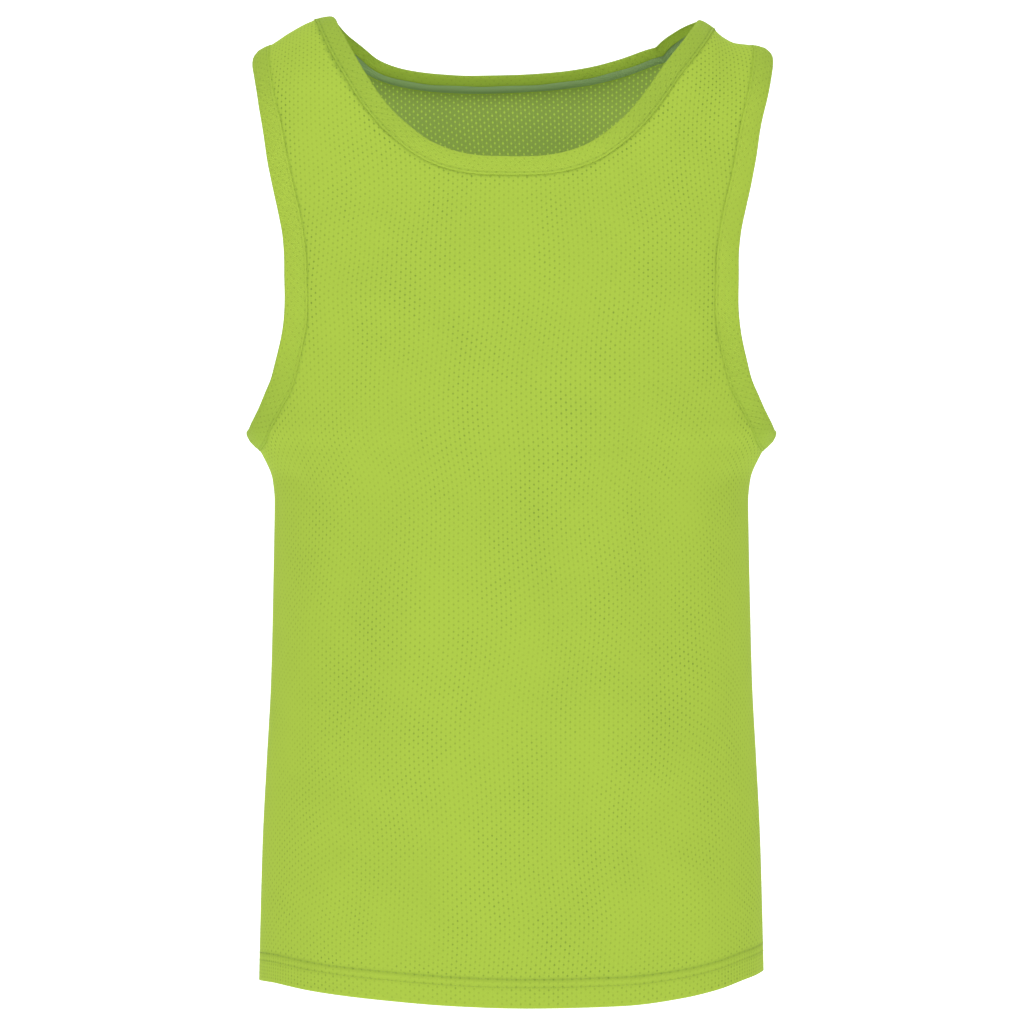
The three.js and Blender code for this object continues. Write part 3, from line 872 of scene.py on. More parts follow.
        # Painted shade: the shade colour outside and the inside shade colour within; the eyelets inside get
        # painted light
        shades = {"data_type": "RGBA", 6: linear(self.shade), 7: linear(self.inside_shade)}
        deep = add_node(tree, "Mix", shades, {0: facing.outputs["Backfacing"]})
        faces = {"data_type": "RGBA", 6: linear(self.colour), 7: linear(self.lit)}
        face = add_node(tree, "Mix", faces, {0: facing.outputs["Backfacing"]})
        ends = {0: dark.outputs[0], 6: face.outputs[2], 7: deep.outputs[2]}
        return add_node(tree, "Mix", {"data_type": "RGBA"}, ends).outputs[2]


@dataclass(frozen=True)
class ThreadFinish:
    """Spun polyester sewing thread, dyed to match.

    The eye gets a fine dull cord that reads a little deeper than the cloth.

    Attributes:
        name: the material's name.
        colour: the strands of the thread.
        strand_shade: painted shade of the thread down between its strands.
        roughness: roughness of the spun fibre.
        specular: strength of its gloss.
    """

    name: str = "spun_polyester_thread"
    colour: str = "#a5c144"
    strand_shade: str = "#90ab3f"
    roughness: float = 0.7
    specular: float = 0.3

    def build(self) -> bpy.types.Material:
        """Make the material.

        Returns:
            The material, with the thread's twist as a fine slanting bump and painted shade between its
            strands.
        """
        material, shader = start_material(self.name, self.roughness)
        shader.inputs["Specular IOR Level"].default_value = self.specular
        tree = material.node_tree
        place = add_node(tree, "TexCoord")
        # Twist of a 0.3 mm thread repeats every 0.8 mm
        strands = {"bands_direction": "DIAGONAL", "Scale": 400.0, "Distortion": 1.0}
        twist = add_node(tree, "TexWave", strands, {0: place.outputs["Object"]})
        # Painted shade between the strands of the twist
        tones = {"data_type": "RGBA", 6: linear(self.strand_shade), 7: linear(self.colour)}
        tone = add_node(tree, "Mix", tones, {0: twist.outputs["Fac"]})
        bump = add_node(
            tree, "Bump", {"Strength": 0.5, "Distance": 0.1 * MILLIMETRE}, {"Height": twist.outputs["Fac"]}
        )
        tree.links.new(tone.outputs[2], shader.inputs["Base Color"])
        tree.links.new(bump.outputs[0], shader.inputs["Normal"])
        return material


@dataclass(frozen=True)
class StudioFinish:
    """Matt white studio paper.

    The eye gets an even white, bright enough to have no edge behind the bib.

    Attributes:
        name: the material's name.
        colour: the paper.
        glow: how strongly it shines by itself, for light that the room would throw back.
        roughness: roughness of the paper.
    """

    name: str = "white_studio_paper"
    colour: str = "#f4f4f4"
    glow: float = 0.6
    roughness: float = 0.9

    def build(self) -> bpy.types.Material:
        """Make the material.

        Returns:
            The material, with its glow.
        """
        material, shader = start_material(self.name, self.roughness)
        shader.inputs["Base Color"].default_value = linear(self.colour)
        shader.inputs["Emission Color"].default_value = (1.0, 1.0, 1.0, 1.0)
        shader.inputs["Emission Strength"].default_value = self.glow
        return material


@dataclass
class MeshParts:
    """Vertices, faces and a flat map that grow into one mesh.

    Attributes:
        points: the vertices' places, in the lots that they were added in.
        flat: their places on the flat map.
        groove: how far stitches pull the cloth in at each, shown as a hollow and as painted shade.
        eyelet: how dark the painted shade in the eyelet is at each.
        slope_shade: painted shade where a binding slopes away from the light, at each.
        faces: the vertex numbers of each face.
        count: how many vertices there are so far.
    """

    points: list[Array] = field(default_factory=list)
    flat: list[Array] = field(default_factory=list)
    groove: list[Array] = field(default_factory=list)
    eyelet: list[Array] = field(default_factory=list)
    slope_shade: list[Array] = field(default_factory=list)
    faces: list[list[int]] = field(default_factory=list)
    count: int = 0

    def add_points(
        self,
        points: Array,
        flat: Array,
        groove: Array | float = 0.0,
        eyelet: Array | float = 0.0,
        slope_shade: Array | float = 0.0,
    ) -> Array:
        """Add vertices.

        Args:
            points: their places, in millimetres.
            flat: their places on the flat map, in millimetres.
            groove: how far a row of stitches pulls the cloth in there, from 0 to 1, shown as a hollow and
                painted shade.
            eyelet: how dark the painted shade in the eyelet is there, from 0 to about 1.
            slope_shade: painted shade there where a binding slopes away from the light.

        Returns:
            Their numbers.
        """
        size = len(points)
        self.points.append(points)
        self.flat.append(flat)
        self.groove.append(np.broadcast_to(np.asarray(groove, dtype=float), (size,)))
        self.eyelet.append(np.broadcast_to(np.asarray(eyelet, dtype=float), (size,)))
        self.slope_shade.append(np.broadcast_to(np.asarray(slope_shade, dtype=float), (size,)))
        self.count += size
        return np.arange(self.count - size, self.count)

    def build(self, name: str, material: bpy.types.Material) -> bpy.types.Object:
        """Make the object.

        Args:
            name: its name.
            material: its material.

        Returns:
            The object, smooth shaded, with its flat map.
        """
        mesh = bpy.data.meshes.new(name)
        mesh.from_pydata((np.concatenate(self.points) * MILLIMETRE).tolist(), [], self.faces)
        mesh.shade_smooth()
        corner = np.empty(len(mesh.loops), dtype=np.int32)
        mesh.loops.foreach_get("vertex_index", corner)
        layer = mesh.uv_layers.new(name="OFBake")
        places = np.concatenate(self.flat)[corner] / FLAT_MAP
        layer.data.foreach_set("uv", places.astype(np.float32).ravel())
        for label, values in (("groove", self.groove), ("eyelet", self.eyelet), ("slope_shade", self.slope_shade)):
            attribute = mesh.attributes.new(label, "FLOAT", "POINT")
            attribute.data.foreach_set("value", np.concatenate(values).astype(np.float32))
        mesh.materials.append(material)
        return add_object(name, mesh)


@dataclass
class Panel:
    """A panel of eyelet mesh, with each eyelet a modelled pit and its hem turned up inside.

    Attributes:
        cloth: the panel's flat cloth.
        wales: eyelet columns from the centre line to the side seam, an even number.
        course: spacing of the eyelets along a column.
        eyelet_width: width of an eyelet.
        eyelet_height: height of an eyelet.
        eyelet_depth: how far an eyelet's floor of fine yarn lies in from the face.
        hem_depth: depth of the turned-up hem.
        hem_thickness: distance between the hem's two layers.
        under_binding: how far the cloth runs on between the layers of a binding.
        seam_valley: how far the side seam draws the cloth in.
        hem_rows: heights of the hem's two rows of stitches over its edge.
        hem_pulls: how far each of those rows pulls the cloth in, from 0 to about 1, shown as a hollow and
            painted shade.
        row_inset: how far the rows beside the bindings lie in from the seam.
        drift_fade: distance from the side seams and the hem over which the knit runs true again.
        drift_foot: height over the hem's edge up to which it runs true.
        eyelets: how many eyelets it has, once it is built.
        floor: an eyelet floor's corners, deepest and darkest in painted shade at the top: place, depth and
            shade, as shares.
        seed: seed of the eyelets' unevenness.
    """

    cloth: FlatCloth
    wales: int = 74
    course: float = 5.0
    eyelet_width: float = 0.9
    eyelet_height: float = 1.2
    eyelet_depth: float = 0.13
    hem_depth: float = 22.5
    hem_thickness: float = 1.5
    under_binding: float = 2.5
    seam_valley: float = 0.9
    hem_rows: tuple[float, float] = (14.4, 20.4)
    hem_pulls: tuple[float, float] = (0.55, 1.1)
    row_inset: float = 2.0
    drift_fade: float = 40.0
    drift_foot: float = 22.0
    eyelets: int = 0
    floor: Table = Table(
        ("across", "up", "deep", "shade"),
        ((0, 0.5, 1.45, 1.0), (0.5, 0.05, 1.0, 0.8), (0, -0.5, 0.45, 0.5), (-0.5, 0.05, 1.0, 0.8)),
    )
    seed: int = 7

    @property
    def wale(self) -> float:
        """Spacing of the eyelet columns."""
        return self.cloth.half_width / self.wales

    def cut_distance(self, s: Array, t: Array) -> tuple[Array, Array]:
        """How far places lie from the cut edges.

        Args:
            s: places across.
            t: places up.

        Returns:
            The distance in from where the cloth ends, and the distance in from the nearest binding's seam.
        """
        cloth, form = self.cloth, self.cloth.form
        neck = cloth.flatten(form.neck_line(cloth.side))
        beyond = np.array([[0.0, 60.0]])
        neck = np.concatenate([neck[:1] + beyond, neck, neck[-1:] + beyond])
        to_binding = signed_distance(s, t, neck, np.empty((0, 2)))
        for hand in Hand:
            arm = cloth.flatten(form.armhole_line(cloth.side, hand))
            out = hand.value * (cloth.half_width + 80.0)
            arm = np.concatenate([[[out, arm[0, 1]]], arm, arm[-1:] + beyond])
            to_binding = np.minimum(to_binding, signed_distance(s, t, arm, np.array([[out, arm[-1, 1]]])))
        angle = cloth.read(cloth.angle[..., None], s, t)[..., 0]
        top = form.shoulder_top(cloth.side, angle)
        to_shoulder = top - (form.hem_level(cloth.side, angle) + t)
        return np.minimum(to_binding + self.under_binding, to_shoulder), to_binding

    def drift(self, s: Array, t: Array) -> tuple[Array, Array]:
        """Let the knit run a little out of true, as it hangs, away from the side seams and the hem.

        Args:
            s: places across in the knit's own count.
            t: places up in the knit's own count.

        Returns:
            The places across and up on the cloth.
        """
        free = np.clip((self.cloth.half_width - np.abs(s)) / self.drift_fade, 0, 1)
        free = free * np.clip((t - self.drift_foot) / self.drift_fade, 0, 1)
        across = 2.6 * np.sin(t / 41 + s / 120 + 0.6) + 1.1 * np.sin(t / 19 - s / 47)
        up = 2.2 * np.sin(s / 37 + t / 90) + 1.2 * np.sin(s / 17 - t / 61 + 1.0)
        return s + across * free, t + up * free

    def valley(self, s: Array) -> Array:
        """How far the side seam draws the cloth in."""
        return -self.seam_valley * bell(np.abs(s) - self.cloth.half_width, 3.0)

    def build(self, finish: bpy.types.Material) -> bpy.types.Object:
        """Build the panel.

        Args:
            finish: its material.

        Returns:
            The panel's object.
        """
        cloth, half_course, wale = self.cloth, self.course / 2, self.wale
        parts = MeshParts()
        columns = np.arange(-self.wales, self.wales + 1)
        rows = np.arange(0, int(cloth.top / half_course))
        column, row = np.meshgrid(columns, rows, indexing="ij")
        knit_s, knit_t = column * wale, row * half_course
        s, t = self.drift(knit_s, knit_t)
        inside, to_binding = self.cut_distance(s, t)
        is_corner = (column + row) % 2 == 0
        number = np.full(s.shape, -1)
        kept = is_corner & (inside > 0)
        points = cloth.lay(s[kept], t[kept], self.valley(s[kept]))
        flat = np.stack([knit_s[kept], knit_t[kept]], axis=1) + self.map_shift
        inner = self.shown_through(s[kept], t[kept])
        number[kept] = parts.add_points(points, flat, self.groove(s[kept], t[kept], to_binding[kept]), inner)
        self.add_eyelets(parts, number, is_corner, column, row, to_binding)
        self.add_borders(parts, number, inside, is_corner)
        self.add_hem(parts, number)
        return parts.build(f"{cloth.side.label}_mesh", finish)

    @property
    def map_shift(self) -> Array:
        """Shift that keeps the flat map above zero, and the eyelets' pattern on the eyelets."""
        return np.array([self.cloth.half_width + 2 * self.wale, 8 * self.course])

    @staticmethod
    def tight(s: Array, t: Array) -> Array:
        """How much tighter the neck's stitches are, at its right side near the shoulder."""
        beside_neck = bell(s + 124, 20)
        return beside_neck * np.clip((t - 640) / 40, 0, 1) * np.clip((750 - t) / 30, 0, 1)

    def groove(self, s: Array, t: Array, to_binding: Array) -> Array:
        """How far the stitch rows pull the cloth in, which shows as a hollow and as painted shade.

        Args:
            s: places across.
            t: places up.
            to_binding: distance in from a binding's seam.

        Returns:
            The pull of the rows beside the bindings, tightest at the right side of the neck, and of the two
            in the hem.
        """
        rows = (0.3 + 2.2 * self.tight(s, t)) * bell(to_binding - self.row_inset, 1.2)
        for level, pull in zip(self.hem_rows, self.hem_pulls):
            rows = rows + pull * bell(t - level, 1.1)
        return rows

    @staticmethod
    def shown_through(s: Array, t: Array) -> Array:
        """How dark the turned-up layer's eyelets show between the outer ones, at the ends of the hem."""
        # Painted shade of the turned-up layer's eyelets, on the corners near the ends of the hem
        return 0.62 * np.clip((np.abs(s) - 145) / 50, 0, 1) * np.clip((21 - t) / 3, 0, 1)

    def openness(self, s: Array, t: Array, near: Array) -> Array:
        """How far the cloth is stretched open, which deepens the painted shade in its eyelets.

        Args:
            s: places across.
            t: places up.
            near: distance in from a binding's seam.

        Returns:
            About 1, and more where the cloth is pulled, beside the bindings and down the middle of the chest,
            over the left strap and over the hem.
        """
        beside = (0.45 + 0.35 * np.sin(t / 19)) * bell(near - 5, 4.5) - 0.5 * bell(near, 2.5)
        beside = beside + 0.6 * self.tight(s, t) * bell(near - 3.5, 2.5)
        middle = 0.2 * bell(np.abs(s) - 26, 12) * bell(t - 480, 90)
        patches = 0.16 * np.sin(s / 33 + 1.0) * np.sin(t / 51 + 0.4) + 0.14 * np.sin(s / 13 - t / 29)
        patches = patches + 0.14 * np.sin(s / 7.3 + t / 11.7) * np.sin(t / 17.0 - s / 23.0)
        strap = 0.55 * bell(s - 142, 36) * np.clip((t - 600) / 70, 0, 1)
        ends = 0.5 * bell(np.abs(s) - 170, 60) - 0.2
        between_rows, over_rows = sum(self.hem_rows) / 2, self.hem_rows[1] + 4.1
        hem = ends * bell(t, 12) - 0.4 * bell(t - between_rows, 2.4) + 0.3 * bell(t - over_rows, 2.5)
        return np.clip(0.85 + beside + middle + patches + strap + hem, 0.15, 1.6)

    def add_eyelets(
        self, parts: MeshParts, number: Array, is_corner: Array, column: Array, row: Array, to_binding: Array
    ) -> None:
        """Add each whole diamond of cloth with its eyelet, whose floor tips up to the light and carries
        painted shade.

        Args:
            parts: the mesh so far.
            number: vertex numbers of the corners, by column and row.
            is_corner: where the corners are.
            column: column numbers.
            row: row numbers.
            to_binding: distance in from a binding's seam.
        """
        rng = np.random.default_rng(self.seed)
        centre = ~is_corner
        centre[[0, -1], :] = False
        centre[:, [0, -1]] = False
        i, j = np.nonzero(centre)
        corners = np.stack([number[i, j + 1], number[i + 1, j], number[i, j - 1], number[i - 1, j]], axis=1)
        whole = (corners >= 0).all(axis=1)
        i, j, corners = i[whole], j[whole], corners[whole]
        s, t = column[i, j] * self.wale, row[i, j] * self.course / 2
        near = to_binding[i, j]
        size = 1.0 + 0.06 * rng.standard_normal(len(i))
        # Strength of each eyelet's painted shade
        dark = self.openness(s, t, near) * (1 + 0.14 * rng.standard_normal(len(i)))
        shift = 0.1 * rng.standard_normal((len(i), 2))
        # Each floor corner carries painted shade, darkest at the top
        ring = []
        for across, up, deep, shade in self.floor.rows:
            knit_s = s + across * self.eyelet_width * size + shift[:, 0]
            knit_t = t + up * self.eyelet_height * size + shift[:, 1]
            at_s, at_t = self.drift(knit_s, knit_t)
            points = self.cloth.lay(at_s, at_t, self.valley(at_s) - self.eyelet_depth * deep * dark)
            flat = np.stack([knit_s, knit_t], axis=1) + self.map_shift
            ring.append(parts.add_points(points, flat, self.groove(at_s, at_t, near), dark * shade))
        quads = [np.stack(ring, axis=1)]
        for k in range(4):
            after = (k + 1) % 4
            quads.append(np.stack([corners[:, after], ring[after], ring[k], corners[:, k]], axis=1))
        quads = np.concatenate(quads)
        parts.faces += (quads[:, ::-1] if self.cloth.side is Side.FRONT else quads).tolist()
        self.eyelets = len(i)

    def add_borders(self, parts: MeshParts, number: Array, inside: Array, is_corner: Array) -> None:
        """Add the plain cloth of the diamonds that an edge cuts.

        Args:
            parts: the mesh so far.
            number: vertex numbers of the corners, by column and row.
            inside: distance in from the cloth's end.
            is_corner: where the corners are.
        """
        cloth, half_course, wale = self.cloth, self.course / 2, self.wale
        last_column, last_row = number.shape[0] - 1, number.shape[1] - 1
        crossing: dict[tuple, int] = {}
        for i in range(last_column + 1):
            for j in range(last_row):
                if is_corner[i, j]:
                    continue
                around = [(i, j + 1), (i + 1, j), (i, j - 1), (i - 1, j)]
                around = [at for at in around if 0 <= at[0] <= last_column and at[1] >= 0]
                kept = [number[at] >= 0 for at in around]
                if not any(kept) or (len(around) == 4 and all(kept)):
                    continue
                loop: list[int] = []
                for at, after in zip(around, around[1:] + around[:1]):
                    if number[at] >= 0:
                        loop.append(int(number[at]))
                    if (number[at] >= 0) == (number[after] >= 0):
                        continue
                    low, high = sorted((at, after))
                    if (low, high) not in crossing:
                        share = inside[low] / (inside[low] - inside[high])
                        s = ((low[0] + (high[0] - low[0]) * share) - self.wales) * wale
                        t = (low[1] + (high[1] - low[1]) * share) * half_course
                        at_s, at_t = self.drift(np.array([s]), np.array([t]))
                        point = cloth.lay(at_s, at_t, self.valley(at_s))
                        flat = np.array([[s, t]]) + self.map_shift
                        crossing[(low, high)] = int(parts.add_points(point, flat)[0])
                    loop.append(crossing[(low, high)])
                if len(loop) > 2:
                    parts.faces.append(loop[::-1] if cloth.side is Side.FRONT else loop)

    def add_hem(self, parts: MeshParts, number: Array) -> None:
        """Add the hem's rounded edge and its turned-up layer inside.

        Args:
            parts: the mesh so far.
            number: vertex numbers of the corners, by column and row.
        """
        cloth = self.cloth
        edge = np.arange(0, 2 * self.wales + 1, 2)
        s = (edge - self.wales) * self.wale
        rounds, radius = 4, self.hem_thickness / 2
        previous = number[edge, 0]
        for step in range(1, rounds + 1):
            turn = math.pi * step / rounds
            drop = radius * math.sin(turn)
            points = cloth.lay(s, np.zeros(len(s)), self.valley(s) - radius * (1 - math.cos(turn)))
            points[:, 2] -= drop
            flat = np.stack([s, np.full(len(s), -radius * turn)], axis=1) + self.map_shift
            current = parts.add_points(points, flat)
            strip = np.stack([previous[:-1], previous[1:], current[1:], current[:-1]], axis=1)
            parts.faces += (strip if cloth.side is Side.BACK else strip[:, ::-1]).tolist()
            previous = current
        levels = np.arange(1, int(self.hem_depth / self.course * 2) + 1)
        inner = np.full((len(edge) * 2 - 1, len(levels) + 1), -1)
        inner[::2, 0] = previous
        columns = np.arange(2 * self.wales + 1)
        for level in levels:
            here = columns[(columns + level) % 2 == 0]
            s = (here - self.wales) * self.wale
            t = np.full(len(s), level * self.course / 2)
            points = cloth.lay(s, t, self.valley(s) - self.hem_thickness)
            flat = np.stack([s, -t - radius * math.pi], axis=1) + self.map_shift
            inner[here, level] = parts.add_points(points, flat)
        faces = []
        for i in columns:
            for j in range(len(levels)):
                if (i + j) % 2 == 0:
                    continue
                around = [(i, j + 1), (i + 1, j), (i, j - 1), (i - 1, j)]
                loop = [int(inner[at]) for at in around if 0 <= at[0] < len(columns) and at[1] >= 0]
                if len(loop) == 4:
                    s, t = (i - self.wales) * self.wale, j * self.course / 2
                    self.add_inner_eyelet(parts, faces, loop, s, t)
                elif len(loop) == 3:
                    faces.append(loop)
        parts.faces += [face[::-1] if cloth.side is Side.BACK else face for face in faces]

    def add_inner_eyelet(
        self, parts: MeshParts, faces: list[list[int]], corners: list[int], s: float, t: float
    ) -> None:
        """Add one diamond of the turned-up layer with its eyelet.

        Args:
            parts: the mesh so far.
            faces: the layer's faces so far.
            corners: the diamond's corner vertices, from the top by the right.
            s: the eyelet's place across.
            t: the eyelet's place up.
        """
        across = np.array([0.0, 0.5, 0.0, -0.5]) * self.eyelet_width
        up = np.array([0.5, 0.0, -0.5, 0.0]) * self.eyelet_height
        points = self.cloth.lay(s + across, t + up, self.valley(s + across) - self.hem_thickness + 0.15)
        flat = np.stack([s + across, -t - up - math.pi * self.hem_thickness / 2], axis=1) + self.map_shift
        ring = parts.add_points(points, flat)
        for a in range(4):
            b = (a + 1) % 4
            faces.append([corners[b], int(ring[b]), int(ring[a]), corners[a]])


@dataclass
class SewnLine:
    """A line on the bib that sewing or a binding follows, with its directions at each point.

    Attributes:
        points: places along it, in millimetres.
        normals: outward normals of the cloth there.
        closed: whether it runs round to its start.
        spacing: distance between its points once it is evened out.
        passes: how often it is smoothed.
    """

    points: Array
    normals: Array
    closed: bool = True
    spacing: float = 2.2
    passes: int = 6

    def __post_init__(self) -> None:
        """Even out the points, smooth their corners and work out the directions."""
        points, normals = self.points, self.normals
        if self.closed:
            points = np.concatenate([points, points[:1]])
            normals = np.concatenate([normals, normals[:1]])
        length = np.concatenate([[0.0], np.cumsum(np.linalg.norm(np.diff(points, axis=0), axis=1))])
        count = max(8, int(length[-1] / self.spacing))
        at = np.linspace(0.0, length[-1], count + 1)
        points = np.stack([np.interp(at, length, points[:, i]) for i in range(3)], axis=1)
        normals = np.stack([np.interp(at, length, normals[:, i]) for i in range(3)], axis=1)
        if self.closed:
            points, normals, at = points[:-1], normals[:-1], at[:-1]
        for _ in range(self.passes):
            points, normals = self.eased(points), self.eased(normals)
        self.points, self.distance, self.length = points, at, float(length[-1])
        if self.closed:
            along = np.roll(points, -1, axis=0) - np.roll(points, 1, axis=0)
        else:
            along = np.gradient(points, axis=0)
        self.along = along / np.linalg.norm(along, axis=1, keepdims=True)
        away = np.cross(self.along, normals)
        self.away = away / np.linalg.norm(away, axis=1, keepdims=True)
        self.normals = np.cross(self.away, self.along)

    def eased(self, values: Array) -> Array:
        """Smooth values along the line by one pass.

        Args:
            values: a row of values for each point.

        Returns:
            The smoothed values.
        """
        if self.closed:
            return (np.roll(values, 1, axis=0) + 2 * values + np.roll(values, -1, axis=0)) / 4
        inner = (values[:-2] + 2 * values[1:-1] + values[2:]) / 4
        return np.concatenate([values[:1], inner, values[-1:]])


def laid(front: FlatCloth, back: FlatCloth, line_front: Array, line_back: Array) -> tuple[Array, Array]:
    """Places and normals along a line over the front and on along one over the back.

    Args:
        front: the front's cloth.
        back: the back's cloth.
        line_front: rows of s and t on the front.
        line_back: rows of s and t on the back.

    Returns:
        The places, and the outward normals there.
    """
    points = [front.lay(*line_front.T), back.lay(*line_back.T)]
    normals = [front.read(front.normals, *line_front.T), back.read(back.normals, *line_back.T)]
    return np.concatenate(points), np.concatenate(normals)


def neck_seam(front: FlatCloth, back: FlatCloth) -> SewnLine:
    """Follow the neck seam.

    Args:
        front: the front's cloth.
        back: the back's cloth.

    Returns:
        The seam, along the front from +X to -X and back behind.
    """
    line_front = front.flatten(front.form.neck_line(Side.FRONT))[::-1]
    line_back = back.flatten(back.form.neck_line(Side.BACK))[1:-1]
    return SewnLine(*laid(front, back, line_front, line_back))


def armhole_seam(front: FlatCloth, back: FlatCloth, hand: Hand) -> SewnLine:
    """Follow an armhole seam.

    Args:
        front: the front's cloth.
        back: the back's cloth.
        hand: the half of the bib.

    Returns:
        The seam, up the front and down behind on +X, and the other way round on -X.
    """
    line_front = front.flatten(front.form.armhole_line(Side.FRONT, hand))
    line_back = back.flatten(back.form.armhole_line(Side.BACK, hand))[1:-1][::-1]
    points, normals = laid(front, back, line_front, line_back)
    if hand is Hand.RIGHT:
        points, normals = points[::-1], normals[::-1]
    return SewnLine(points, normals)


@dataclass
class Binding:
    """A strip of the knit folded over a cut edge, with a raised rib where it is sewn down.

    Attributes:
        name: the piece's name.
        seam: the line that it is sewn along.
        width: width from the seam to its folded edge.
        lean: turn towards the body by height, in degrees.
        slope_shade: painted shade by height, where the strip slopes away from the light.
        droop: how far its folded edge hangs below the lean by height.
        rib: height of the raised rib at its sewn edge.
        pull: how deep the rib's own stitches lie, from 0 to 1, shown as a hollow and painted shade.
        wall: its thickness.
        ease: how often its folded edge is smoothed, since it cannot turn as sharply as the seam.
        seed: seed of its unevenness.
    """

    name: str
    seam: SewnLine
    width: float
    lean: Table
    slope_shade: Table
    droop: Table
    rib: float = 0.86
    pull: float = 0.8
    wall: float = 2.4
    ease: int = 14
    seed: int = 3

    def outline(self) -> Array:
        """The strip cut across.

        Returns:
            Rows of distance out from the seam and height over the cloth, from its sewn edge outside, round
            the fold, to its sewn edge inside.
        """
        half, width = self.wall / 2, self.width
        outside = [
            (-1.5, 0.1), (-1.45, 0.5 * self.rib), (-1.1, 0.87 * self.rib), (-0.6, self.rib),
            (-0.1, 0.96 * self.rib), (0.3, 0.68), (0.8, 0.66),
        ]
        face = [
            (1.5, half * 0.68), (3.0, half * 0.85), (width * 0.55, half * 1.15), (width - 3.0, half * 1.12),
            (width - 1.4, half * 0.9), (width - 0.5, half * 0.55),
        ]
        fold = [(width, 0.0)]
        inner_face = [(out, -high) for out, high in reversed(face)]
        inside = [(0.6, -0.95), (-1.2, -1.05), (-2.2, -0.8), (-2.4, -0.15)]
        return np.array(outside + face + fold + inner_face + inside)

    def build(self, finish: bpy.types.Material) -> bpy.types.Object:
        """Build the strip.

        Args:
            finish: its material.

        Returns:
            The strip's object.
        """
        seam, outline = self.seam, self.outline()
        count = len(seam.points)
        rng = np.random.default_rng(self.seed)
        turn = 2 * math.pi * np.arange(count) / count
        wave = sum(
            rng.uniform(0.5, 1.0) * np.sin(turn * k + rng.uniform(0, 6.28)) / 6 for k in (3, 5, 8, 13, 21, 34)
        )
        lean = np.radians(self.lean.read("z", "lean", seam.points[:, 2]))[:, None, None]
        out = outline[None, :, 0] * (1 + 0.03 * wave[:, None])
        high = outline[None, :, 1] + 0.25 * wave[:, None] * np.clip(outline[None, :, 0] / self.width, 0, 1)
        bend = np.clip((outline[None, :, 0] - 5) / (self.width - 5), 0, 1) ** 2
        high = high - self.droop.read("z", "droop", seam.points[:, 2])[:, None] * bend
        beyond = np.maximum(outline[None, :, 0:1], 0) > 0
        away, upward = seam.away[:, None, :], seam.normals[:, None, :]
        leant_away = np.where(beyond, away * np.cos(lean) - upward * np.sin(lean), away)
        leant_up = np.where(beyond, upward * np.cos(lean) + away * np.sin(lean), upward)
        points = seam.points[:, None, :] + leant_away * out[..., None] + leant_up * high[..., None]
        share = np.clip((outline[:, 0] - 2) / (self.width - 2), 0, 1)[None, :, None]
        eased = points
        for _ in range(self.ease):
            eased = (np.roll(eased, 1, axis=0) + 2 * eased + np.roll(eased, -1, axis=0)) / 4
        points = points * (1 - share) + eased * share
        around = np.concatenate([[0.0], np.cumsum(np.linalg.norm(np.diff(outline, axis=0), axis=1))])
        flat = np.stack(np.broadcast_arrays(seam.distance[:, None], around[None, :]), axis=-1)
        # The strip runs round to its start, so its first ring of vertices is made twice and meets itself
        points = np.concatenate([points, points[:1]])
        flat = np.concatenate([flat, flat[:1] + np.array([seam.length, 0.0])])
        groove = self.pull * bell(outline[:, 0] - 0.5, 0.5)
        # Painted shade where the strip slopes away from the light, on its outer face only
        outer = np.arange(len(outline)) < len(outline) * 0.6
        slope_shade = self.slope_shade.read("z", "slope_shade", points[:, :, 2]) * outer
        grooves = np.tile(groove, count + 1)
        parts = MeshParts()
        number = parts.add_points(points.reshape(-1, 3), flat.reshape(-1, 2), grooves, slope_shade=slope_shade.ravel())
        number = number.reshape(count + 1, len(outline))
        faces = np.stack([number[:-1, :-1], number[:-1, 1:], number[1:, 1:], number[1:, :-1]], axis=-1)
        parts.faces += faces.reshape(-1, 4).tolist()
        return parts.build(self.name, finish)


